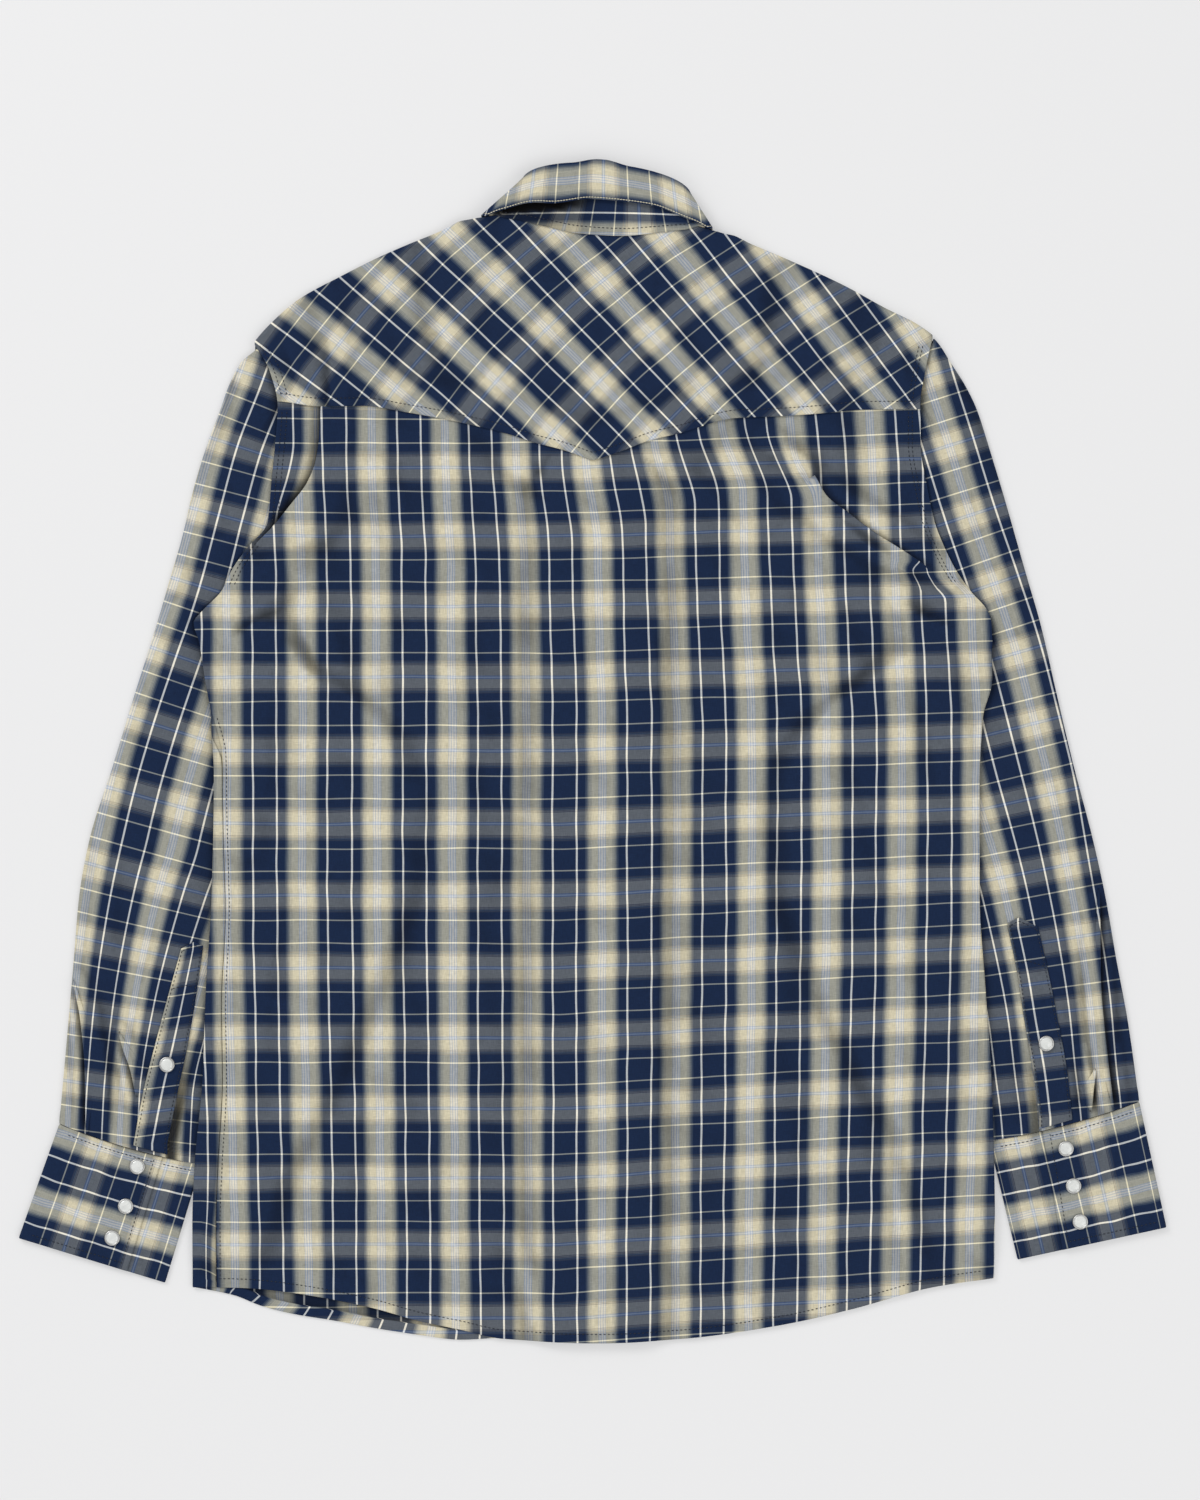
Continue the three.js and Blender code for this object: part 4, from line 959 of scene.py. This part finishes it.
# Fronts: the outer one wraps round the wearer's left edge, the inner one lies under the band
def makeFront(name, zOf, edgeX, inner):
    u = spaced(265, 4.2)[None, :]
    nearHem = 1 - np.array([2.5, 4, 5.5, 6.4, 6.9, 7.5, 8.6, 10, 12.4]) / 690
    v = np.unique(np.concatenate([spaced(690, 5.0), nearHem]))[:, None]

    def xOf(y):
        return mix(edgeX(y), inner, u)

    def yOf(x):
        inside = np.abs(x - centreX) < 76.6
        return mix(np.where(inside, np.minimum(neckY(x), frontTop(x)), frontTop(x)), hems["front"](x), v)

    x, y = settle(xOf, yOf, mix(300.0, -390.0, v) + 0 * u)
    return np.stack([x, y, zOf(x, y) + ripple(x, y, 0.1, 26) + 0.5 * hemTurn(x, y)], 2)


def hemTurn(x, y):  # the turned-up strip inside the front's hem
    return step(7.4, 7.0, y - hems["front"](x))


def underarmInset(y):
    return 9 * step(150, 116, y) * step(44, 72, y)


def makeFrontLeft():
    def edgeX(y):
        x = bodySides["left"](y)
        radius = (backZ(x, y) - outerFrontZ(x, y)) / 2
        return x + (0.5 + radius) * wrapAmount(y) + underarmInset(y) + 0.4

    grid = makeFront("left", outerFrontZ, edgeX, centreX - 18.3)
    y, z = grid[:, 0, 1], grid[:, 0, 2]
    amount = wrapAmount(y)
    x = bodySides["left"](y)
    top = backZ(x + 4, y)
    reach = wrapWidth(y) - 0.5 - (backZ(x, y) - outerFrontZ(x, y)) / 2
    turned = []
    for k in turnSteps[::-1]:
        inward, height = turnOver(z, top, amount, reach, k)
        inset = (1 - amount) * (underarmInset(y) + 0.4 - 0.3 * k)
        turned.append(np.stack([x + inward + inset, y, height], 1))
    grid = np.concatenate([np.stack(turned, 1), grid], 1)
    x, y = grid[..., 0], grid[..., 1]
    near = step(-290, -362, y) * step(-276, -250, x)
    strip = hemTurn(x, y) * near
    depth = 7 - (y - hems["front"](x))
    slant = 0.06 + 0.79 * np.clip((-82 - x) / 168, 0, 1)
    uv = onBack(x + near * 20.6 + strip * (slant * depth - 3.9), y + 10 * near)
    # Painted shade on the front's inside above its turned-up hem strip, under the back's hem
    return grid, uv, 0.4 * near * (1 - strip)


def makeFrontRight():
    def edgeX(y):
        return bodySides["right"](y) - underarmInset(y) - 2 - rightTurn(y) * (6.5 + rightRadius(y))

    grid = makeFront("right", innerFrontZ, edgeX, centreX - 17)
    return grid, onBack(grid[..., 0] + 9, grid[..., 1])


frontLeftGrid, frontLeftUv, frontLeftShade = makeFrontLeft()
frontRightGrid, frontRightUv = makeFrontRight()
frontLeft = clothObject("clothFrontLeft", frontLeftGrid, frontLeftUv, plaidCloth, shade=frontLeftShade)
frontRight = clothObject("clothFrontRight", frontRightGrid, frontRightUv, plaidCloth)


def makeBand():
    x = (centreX + 18 * np.linspace(-1, 1, 15))[None, :]
    v = spaced(700, 4.0)[:, None]
    y = mix(neckY(x), hems["front"](x), v)
    z = np.full_like(y, cloth["floor"] + 2.3)
    grid = np.stack([x + 0 * y, y, z], 2)
    return grid, ((grid[..., 0] - 3) / 52.5, grid[..., 1] / 51.0)


bandGrid, bandUv = makeBand()
band = clothObject("clothBand", bandGrid, bandUv, plaidCloth)
print("fronts made")


# Collar stand and the fall folded over it
collar = {
    "edgeBack": 11.0, "turn": 1.0, "widen": 1.6, "dip": 3.2, "standBack": 7.6, "endEdge": 148.0, "peak": 2.5,
}
bandAngle = 180 - math.degrees(math.asin(18.3 / 76.6))


def makeStand():
    a = np.concatenate([[-191, -180], np.linspace(-bandAngle, bandAngle, 141), [180, 188]])[None, :]
    v = np.concatenate([[0, 0.02, 0.05], np.linspace(0.14, 1, 10)])[:, None]
    lowX, lowY = loopPoint("seam", a)
    highX, highY = loopPoint("standTop", a)
    cos = np.cos(np.radians(a))
    seamY = np.maximum(lowY, yokeTop(lowX) + 0.6) - 3.0 * step(0.34, 0.6, cos)
    x = mix(lowX, highX, v)
    y = mix(np.where(cos > 0, seamY, lowY), highY, v)
    front = cloth["floor"] + mix(1.4, 2.3, nearBand(x)) + 1.3 * step(136, 151, a)
    rear = mix(6.0 + 1.3 * step(0, 0.3, cos), collar["standBack"], v)
    z = mix(front, rear, upperHalf(a))
    grid = np.stack([x, y, z], 2)
    along = np.concatenate([[0], np.cumsum(np.hypot(np.diff(x[6]), np.diff(y[6])))])
    middle = np.interp(0, a[0], along)
    weft = (along - middle)[None, :] / 49.0 + (loops["seam"][0] + 18.6) / 49.0 + 0 * y
    warp = (v * np.hypot(highX - lowX, highY - seamY) + 4.4) / 52.5
    seen = step(0.1, 0.5, cos)  # on the back it follows the white line that shows under the fall
    line = 376.3 - 0.00035 * (x - 10) ** 2 - 0.012 * (x - 10)
    warp = mix(warp, (17.9 + 1.12 * (y - line)) / 52.5, seen)
    # Painted shadow on the stand under the left of the fall's edge, and a softer painted shade further left
    under = curve([(-90, 374), (-70, 375.7), (-44, 378.2), (-20, 379.8), (0, 381.4), (60, 384)])(x)
    fallShadow = 1.3 * step(under - 2.5, under + 1, y) * step(8, -28, x) + 0.45 * step(20, -45, x)
    return grid, (warp, weft), fallShadow * seen


def makeLeaf():
    a = np.linspace(-bandAngle, bandAngle, 151)[None, :]
    sin = np.sin(np.radians(a))
    up = upperHalf(a)
    foldX, foldY = loopPoint("fold", a)
    foldY = foldY - collar["peak"] * step(2, 20, np.abs(foldX - 6)) * up  # its top comes to a soft peak
    startX, startY = loopPoint("start", a)
    size = np.abs(a)
    drawnBack = (bandAngle - collar["endEdge"]) * step(102, bandAngle, size)
    edgeX, edgeY = loopPoint("edge", np.sign(a) * (size - drawnBack))
    fromMiddle = np.abs(edgeX - loops["edge"][0])
    edgeY = edgeY - (2.1 + 3.4 * step(38, 66, fromMiddle)) * step(0, 0.35, np.cos(np.radians(a)))
    innerFront = cloth["floor"] + 1.4
    innerBack = collar["standBack"] + 0.3
    outerBack = innerBack + 2 * collar["turn"]
    rows, dist = [], []
    for t in np.linspace(0, 1, 5):
        x = mix(startX, foldX, t)
        z = mix(innerFront + 0.9 * nearBand(x), innerBack, up)
        rows.append(np.stack([x, mix(startY, foldY - 1, t), z], 2)[0])
        dist.append(-3 - 12 * (1 - t) + 0 * size[0])
    for t in np.linspace(0, 1, 9)[1:-1]:
        over = (1 - math.cos(math.pi * t)) / 2
        front = innerFront + 0.9 * nearBand(foldX)
        z = mix(mix(front, cloth["floor"], over), mix(innerBack, outerBack, over), up)
        x = foldX + collar["widen"] * sin * over
        rows.append(np.stack([x, foldY - 1 + math.sin(math.pi * t), z], 2)[0])
        dist.append(-3 + 3 * t + 0 * size[0])
    length = mix(26.5, np.hypot(edgeX - foldX, edgeY - foldY)[0], step(66, 95, size[0]))
    dip = collar["dip"] * step(26, 0, np.abs(edgeX + 27)) * up
    for t in spaced(30, 1.4):
        z = mix(cloth["floor"], mix(outerBack, collar["edgeBack"], t), up)
        sag = 0.35 * math.sin(math.pi * t) * up
        x = mix(foldX + collar["widen"] * sin, edgeX, t)
        rows.append(np.stack([x, mix(foldY - 1, edgeY - dip * t, t), z + sag], 2)[0])
        dist.append(t * length)
    grid = np.stack(rows, 0)
    across = grid[..., 0]
    turn = np.abs(a[0]) < 74  # as seen from above; past it the columns follow the collar round to the front
    first, last = np.where(turn)[0][[0, -1]]
    fan = 1 + 0.06 * np.clip(np.stack(dist, 0) / 27, 0, 1)
    weft = (across - 7.6) / (48.3 * fan)
    steps = np.linalg.norm(np.diff(grid, axis=1), axis=2) / 49.5
    walked = np.concatenate([np.zeros((len(grid), 1)), np.cumsum(steps, axis=1)], 1)
    place = np.arange(across.shape[1])
    for end, past in ((last, place > last), (first, place < first)):
        weft = np.where(past, weft[:, end:end + 1] + walked - walked[:, end:end + 1], weft)
    return grid, ((np.stack(dist, 0) - 12.2) / 52.5, weft)


standGrid, standUv, standShade = makeStand()
leafGrid, leafUv = makeLeaf()
stand = clothObject("clothStand", standGrid, standUv, plaidCloth, shade=standShade)
leaf = clothObject("clothLeaf", leafGrid, leafUv, plaidCloth)
print("collar made")


# Sleeves: flattened tubes from the armhole to the cuff
def sleevePlan(name, s, t):
    side = sides[name]
    outerY = mix(side["tipY"], side["outerTop"][1] + 0.3, t)
    innerY = mix(side["splitY"], side["innerTop"][1] + 0.3, sections["inner"](t))
    last = step(0.98, 1, t)
    outerX = mix(sleeveOuter[name](outerY), side["outerTop"][0], last)
    innerX = mix(sleeveInner[name](innerY), side["innerTop"][0], last)
    y = mix(outerY, innerY, s) + side["topBow"] * 4 * s * (1 - s) * step(0.7, 1, t)
    hole = bodySides[name](y) - side["sign"] * 8
    return mix(mix(outerX, innerX, s), hole, sections["bow"](t) * step(0, 0.12, s)), y


def makeSleeve(name):
    side = sides[name]
    t = np.unique(np.concatenate([spaced(570, 2.9), np.linspace(0, 0.25, 60)]))[:, None]
    columnsOut = []

    def fold(s, k):
        x, y = sleevePlan(name, s, t)
        nx, ny = sleevePlan(name, mix(s, 0.5, 0.1), t)
        length = np.hypot(nx - x, ny - y)
        over, under = sleeveOverZ(name, x, y), sleeveUnderZ(name, x, y)
        radius = (over - under) / 2
        away = 0.5 + radius - radius * np.sin(np.pi * k)
        z = (over + under) / 2 + radius * np.cos(np.pi * k)
        return np.stack([x + (nx - x) / length * away, y + (ny - y) / length * away, z], 2)

    def flat(s, zOf):
        x, y = sleevePlan(name, s, t)
        return np.stack([x, y, zOf(name, x, y)], 2)

    columnsOut.append(fold(0, 0))
    for s in np.linspace(0.02, 0.98, 62):
        columnsOut.append(flat(s, sleeveOverZ))
    for k in np.linspace(0, 1, 7):
        columnsOut.append(fold(1, k))
    for s in np.linspace(0.96, 0.04, 20):
        columnsOut.append(flat(s, sleeveUnderZ))
    for k in np.linspace(1, 0, 7)[:-1]:
        columnsOut.append(fold(0, k))
    grid = np.concatenate(columnsOut, 1)
    x, y = grid[..., 0], grid[..., 1]
    beside = side["sign"] * (curve([(r[0], r[2]) for r in side["placket"]])(y) - x)
    # Painted shade in the gap beside the placket's inner edge and beside each lip's free edge, which the
    # material darkens
    gap = step(9, 3, beside) * step(-2, 0, beside) * step(-196, -262, y) * (1.2 if name == "left" else 0.7)
    for line, rise, fade, way in sleeveLips[name]:
        high, low = max(p[0] for p in line), min(p[0] for p in line)
        ends = step(low - 4, low + 10, y) * step(high + 4, high - 22, y)
        gap = gap + 0.9 * lapShade(way * (x - curve(line)(y)), 5.5) * ends
    return grid, sleevePlaid[name](x, y), gap


# Strip over a sleeve's opening, pointed at its top, made from the sleeve's own heights
def makePlacket(name):
    side = sides[name]
    outLine = curve([(r[0], r[1]) for r in side["placket"]])
    inLine = curve([(r[0], r[2]) for r in side["placket"]])
    tip = 0.62
    u = spaced(23, 1.6)[None, :]
    v = spaced(140, 2.4)[:, None]
    corner = side["placket"][0][0]
    top = corner + (side["placketTip"][1] + 0.5 - corner) * (1 - np.abs(u - tip) / tip)
    end = side["placket"][-1][0] - 1.5 - 6.5 * u
    y = mix(top, end, v)
    x = mix(outLine(y), inLine(y), u)
    z = sleeveOverZ(name, x, y) + 1.1
    rise = placketLift(u, v)
    grid = np.stack([x, y, z + rise], 2)
    if name == "left":
        warp, weft = (u * 23.5 + 4.9) / 52.5 + 0 * y, (y + 204 - 3 * u) / 49.0
    else:
        warp, weft = ((1 - u) * 23.5 + 9.9) / 52.5 + 0 * y, (y + 211 + 3 * u) / 50.0
    return grid, (warp, weft)


def placketLift(u, v):
    return 0.25 * np.sin(np.pi * u) ** 0.5 + 0 * v


# Cuffs: one band round the wrist that laps at its slit
cuffLevels = {"under": 0.5, "lap": 2.0, "over": 3.3}


def cuffPlan(name, s, w):
    side = sides[name]
    found = []
    for n in range(2):
        top = mix(side["outerTop"][n], side["innerTop"][n], s)
        end = mix(side["outerEnd"][n], side["innerEnd"][n], s)
        bow = side["topBow"] * 4 * s * (1 - s) * (1 - w) if n == 1 else 0
        found.append(mix(top, end, w) + bow)
    return found


cuffPlaid = {"left": 32.6, "right": 37.5}  # a beige weft crosses the cuff here, from its outer fold


def makeCuff(name):
    side = sides[name]
    w = spaced(85, 2.4)[:, None]
    slit = mix(side["slitTop"], side["slitEnd"], w)
    cols, places, pulls = [], [], []
    levels = cuffLevels

    def point(s, z):
        x, y = cuffPlan(name, s, w)
        puff = 0.5 * np.sin(np.pi * np.clip(s, 0, 1)) * np.sin(np.pi * w) + ripple(x, y, 0.1, 14)
        return np.stack([x, y, z + (puff if z > 1 else 0) + 0 * x], 2)

    def turn(s, fromZ, toZ, k):
        x, y = cuffPlan(name, s, w)
        nx, ny = cuffPlan(name, 0.5, w)
        length = np.hypot(nx - x, ny - y)
        radius = abs(fromZ - toZ) / 2
        away = 0.5 + radius - radius * math.sin(math.pi * k)
        z = (fromZ + toZ) / 2 + (fromZ - toZ) / 2 * math.cos(math.pi * k)
        return np.stack([x + (nx - x) / length * away, y + (ny - y) / length * away, z + 0 * x], 2)

    def add(column, place, pull=0.0):  # place round the wrist; pull is how far it moves with the slit
        cols.append(column)
        places.append(place)
        pulls.append(pull)

    for r in [1, 0.993, 0.98, *np.linspace(0.96, 0.06, 34)]:
        add(point(slit * r, levels["over"]), r, r)
    for k in np.linspace(0, 1, 8):
        add(turn(0, levels["over"], levels["under"], k), 0)
    for s in np.linspace(0.05, 0.95, 24):
        add(point(s, levels["under"]), -s)
    for k in np.linspace(0, 1, 8):
        add(turn(1, levels["under"], levels["lap"], k), 1)
    for r in np.linspace(0.04, 1, 16):
        add(point(mix(1.0, slit - 0.22, r), levels["lap"]), 1 - 0.22 * r, r)
    grid = np.concatenate(cols, 1)
    size = math.hypot(side["outerEnd"][0] - side["innerEnd"][0], side["outerEnd"][1] - side["innerEnd"][1])
    places = np.array(places)[None, :] + 0 * w
    places = places + np.array([pulls]) * (slit - 1)
    warp = (w - 0.653) / 0.588 + 0 * places + ripple(grid[..., 0], grid[..., 1], 0.008, 12)
    return grid, (warp, (places * size - cuffPlaid[name]) / 50.5)


tubes = {}
for name in ("left", "right"):
    title = name.capitalize()
    sleeveGrid, sleeveUv, sleeveShade = makeSleeve(name)
    placketGrid, placketUv = makePlacket(name)
    cuffGrid, cuffUv = makeCuff(name)
    sleeve = clothObject(
        "clothSleeve" + title, sleeveGrid, sleeveUv, plaidCloth, closed=True, shade=sleeveShade
    )
    tubes[name] = {
        "sleeve": (sleeve, sleeveGrid),
        "placket": (clothObject("clothPlacket" + title, placketGrid, placketUv, plaidCloth), placketGrid),
        "cuff": (clothObject("clothCuff" + title, cuffGrid, cuffUv, plaidCloth, wall=1.1), cuffGrid),
    }
    print("sleeve and cuff", name)


# The free edge of a fold: a strip over its own panel, rolled at the edge, sunk into the panel at its other side
flapProfile = [(1.4, -1.35), (0.4, -1.3), (-0.2, -0.8), (0.0, -0.3), (0.6, -0.04), (1.6, 0.0)]


def makeFlap(name, line, side, width, zOf, uvOf, narrow=0.0):
    edge = curve(line)
    high, low = max(p[0] for p in line), min(p[0] for p in line)
    v = np.linspace(0, 1, max(16, round(abs(high - low) / 2.2)))
    y = mix(high, low, v)
    x = edge(y)
    dx, dy = np.gradient(x), np.gradient(y)
    size = np.hypot(dx, dy)
    ax, ay = -dy / size * side, dx / size * side
    profile = flapProfile + [(q * width, -1.1 * step(0.72, 1, q)) for q in np.linspace(0.25, 1, 10)]
    sink = 1.3 * (1 - step(0, 0.1, v) * step(1, 0.88, v))
    taper = 1 - narrow * (1 - step(0, 0.45, v) * step(1, 0.7, v))
    cols = []
    for q, dz in profile:
        px, py = x + ax * q * taper, y + ay * q * taper
        cols.append(np.stack([px, py, zOf(px, py) + 0.25 + dz - sink], 1))
    grid = np.stack(cols, 1)
    made = clothObject(name, grid, uvOf(grid[..., 0], grid[..., 1]), plaidCloth, wall=0.5)
    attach(made, "root")
    return made


def backFreeZ(x, y):
    return backZ(x, y, False)


def onBackFree(x, y):
    return onBack(x, y, True)


backFlaps = [
    makeFlap(f"lapBack{name.capitalize()}", lap["line"], lap["side"], 15, backFreeZ, onBackFree)
    for name, lap in backLaps.items()
]
sleeveFlaps = {"left": [], "right": []}
for name in ("left", "right"):
    for n, (line, rise, fade, side) in enumerate(sleeveLips[name]):
        title = f"lapSleeve{name.capitalize()}{n + 1}"
        raised = lambda x, y: sleeveOverZ(name, x, y) + rise * 0.9 - lip(line, rise, fade, side, x, y)
        sleeveFlaps[name].append(makeFlap(title, line, side, 7.5, raised, sleevePlaid[name], 0.8))
print("laps made")

# Snaps: a pearl cap in a metal ring
snapSize = {"radius": 5.5, "ring": 0.75}


def makeSnap(name, node, x, y, base, up=1):
    r, ringHalf = snapSize["radius"] * 0.001, snapSize["ring"] * 0.001
    bpy.ops.object.select_all(action="DESELECT")
    bpy.ops.mesh.primitive_uv_sphere_add(segments=32, ring_count=16, radius=r * 0.84, location=(0, 0, 0))
    cap = bpy.context.object
    cap.data.transform(mathutils.Matrix.Diagonal((1, 1, 0.34, 1)))
    cap.data.transform(mathutils.Matrix.Translation((0, 0, 0.0005)))
    cap.data.materials.append(pearl)
    bpy.ops.mesh.primitive_torus_add(
        major_segments=40, minor_segments=12, major_radius=r - ringHalf, minor_radius=ringHalf,
        location=(0, 0, 0),
    )
    ring = bpy.context.object
    ring.data.transform(mathutils.Matrix.Translation((0, 0, ringHalf)))
    ring.data.materials.append(snapRing)
    bpy.ops.object.select_all(action="DESELECT")
    cap.select_set(True)
    ring.select_set(True)
    bpy.context.view_layer.objects.active = cap
    bpy.ops.object.join()
    bpy.ops.object.shade_smooth()
    cap.name = name
    turnDown = mathutils.Matrix.Rotation(0 if up > 0 else math.pi, 4, "X")
    cap.data.transform(mathutils.Matrix.Translation((x * 0.001, y * 0.001, base * 0.001)) @ turnDown)
    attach(cap, "root")
    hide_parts(node)
    return cap


for name in ("left", "right"):
    side = sides[name]
    title = name.capitalize()
    for n, (x, y) in enumerate(side["snaps"]):
        makeSnap(f"snapCuff{title}{n + 1}", f"snap_cuff_{name}_{n + 1}", x, y, cuffLevels["over"] + 0.75)
    x, y = side["placketSnap"]
    surface = float(sleeveOverZ(name, np.array(x), np.array(y))) + 1.1 + 0.25 + 0.4
    makeSnap(f"snapPlacket{title}", f"snap_placket_{name}", x, y, surface)
for n in range(6):
    makeSnap(f"snapFront{n + 1}", f"snap_front_{n + 1}", centreX, 268 - 98 * n, 2.2, up=-1)
makeSnap("snapCollar", "snap_collar", centreX, 306, 2.2, up=-1)
print("snaps made")

# Stitching
wall = cloth["wall"]
xs = np.linspace(-219, 228, 300)
yokeStitch = [onSurface(xs, yokeLow(xs) + 5.6, yokeZ)]
ys = np.linspace(238, 116, 90)
armLeft = [onSurface(bodySides["left"](ys) + d, ys, backZ) for d in (3.2, 6.6)]
armRight = [onSurface(bodySides["right"](ys) - d, ys, backZ) for d in (5.5, 8.2)]
yokeArm = np.linspace(284, 246, 30)
armYoke = [onSurface(bodySides["left"](yokeArm) + d, yokeArm, yokeZ) for d in (3.2, 7.4)]
armYoke += [onSurface(bodySides["right"](yokeArm) - d, yokeArm, yokeZ) for d in (5.5, 8.2)]
xs = np.linspace(-262, 274, 360)
hemStitch = [onSurface(xs, hems["back"](xs) + 6.3, backZ)]
ys = np.linspace(24, -368, 260)
sideStitch = [onSurface(backLeftX(ys) + 2.6, ys, backZ)]
backStitches = stitchObject("stitchBack", armLeft + armRight + hemStitch + sideStitch, darkThread)
yokeStitches = stitchObject("stitchYoke", yokeStitch + armYoke, darkThread)


def gridLine(grid, rows, cols, lift):
    line = grid[rows, cols]
    normal = neighbours(grid, False)[rows, cols]
    normal = normal * np.sign(normal[..., 2:3] + 1e-9)
    return line + normal * lift


leafRow = len(leafGrid) - 4
back30 = slice(34, 117)
leafStitches = stitchObject(
    "stitchLeaf", [gridLine(leafGrid, leafRow, back30, wall / 2 + 0.05)], creamThread,
    {"stitch": 2.7, "gap": -0.7, "half": 0.42, "rise": 0.1},
)
standLine = gridLine(standGrid, 3, slice(40, 105), wall / 2 + 0.05)
standStitches = stitchObject("stitchStand", [standLine], darkThread)
bandYs = np.linspace(280, -400, 200)
bandUnder = 2.8 - (wall / 2 + 0.05)
bandLines = [np.stack([0 * bandYs + centreX + d, bandYs, 0 * bandYs + bandUnder], 1) for d in (-12, 12)]
bandStitches = stitchObject(
    "stitchBand", bandLines, darkThread, {"stitch": 2.3, "gap": 0.7, "half": 0.24, "rise": -0.2}
)

for name in ("left", "right"):
    title = name.capitalize()
    side = sides[name]
    cuffGrid = tubes[name]["cuff"][1]
    placketGrid = tubes[name]["placket"][1]
    rows = len(cuffGrid)
    cuffLines = [
        gridLine(cuffGrid, slice(3, rows - 3), 4, 0.62),
        gridLine(cuffGrid, 4, slice(4, 36), 0.62),
        gridLine(cuffGrid, rows - 5, slice(4, 36), 0.62),
        gridLine(cuffGrid, 4, slice(78, 86), 0.62),
    ]
    stitchObject("stitchCuff" + title, cuffLines, darkThread)
    last = placketGrid.shape[1]
    placketLines = [
        gridLine(placketGrid, slice(2, None), 3, wall / 2 + 0.05),
        gridLine(placketGrid, slice(2, None), last - 4, wall / 2 + 0.05),
        gridLine(placketGrid, 3, slice(2, last - 2), wall / 2 + 0.05),
        gridLine(placketGrid, 14, slice(2, last - 2), wall / 2 + 0.05),
    ]
    stitchObject("stitchPlacket" + title, placketLines, darkThread)
print("stitching made")

declare(back, "back", backGrid)
declare(yoke, "yoke", yokeGrid)
declare(band, "front_band", bandGrid)
declare(stand, "collar_stand", standGrid)
declare(leaf, "collar_leaf", leafGrid)

# Floor, light and camera
bpy.ops.object.select_all(action="DESELECT")
bpy.ops.mesh.primitive_plane_add(size=8, location=(0, 0, 0))
floor = bpy.context.object
floor.name = "floor"
floor.data.transform(mathutils.Matrix.Translation((0, 0, -0.0002)))
paper, tree, shader = newMaterial("floorPaper")
shader.inputs["Base Color"].default_value = (0.46, 0.46, 0.465, 1)
shader.inputs["Emission Color"].default_value = (1, 1, 1, 1)
shader.inputs["Emission Strength"].default_value = 0.34
shader.inputs["Roughness"].default_value = 0.9
floor.data.materials.append(paper)
declare(frontLeft, "front_left", frontLeftGrid)
declare(frontRight, "front_right", frontRightGrid)
for name in ("left", "right"):
    title = name.capitalize()
    piece = tubes[name]
    sleeve, placket, cuff = piece["sleeve"], piece["placket"], piece["cuff"]
    declare(sleeve[0], f"sleeve_{name}", sleeve[1], closed=True)
    declare(placket[0], f"sleeve_placket_{name}", placket[1])
    declare(cuff[0], f"cuff_{name}", cuff[1])

lights = {  # place, size, watts
    "key": ((-2.6, 2.6, 2.6), 1.8, 86),
    "fill": ((2.6, -1.2, 3.2), 2.8, 38),
    "low": ((-0.4, -2.6, 2.2), 2.0, 12),
}
for name, (place, size, watts) in lights.items():
    data = bpy.data.lights.new(name, "AREA")
    data.shape = "SQUARE"
    data.size = size
    data.energy = watts
    lamp = bpy.data.objects.new(name, data)
    lamp.location = place
    lamp.rotation_euler = (-mathutils.Vector(place)).to_track_quat("-Z", "Y").to_euler()
    bpy.context.collection.objects.link(lamp)

world = bpy.data.worlds.new("studio")
world.use_nodes = True
world.node_tree.nodes["Background"].inputs["Color"].default_value = (1, 1, 1, 1)
world.node_tree.nodes["Background"].inputs["Strength"].default_value = 0.63
bpy.context.scene.world = world

view = bpy.data.cameras.new("overhead")
view.sensor_fit = "VERTICAL"
view.sensor_height = 24
view.lens = 24 * 4.0 / 1.05
view.clip_end = 20
camera = bpy.data.objects.new("overhead", view)
camera.location = (0.0052, 0.0009, 4.0)
bpy.context.collection.objects.link(camera)
bpy.context.scene.camera = camera
bpy.context.scene.view_settings.view_transform = "Standard"

for title, size in cuts.items():
    print("cut", title, size)
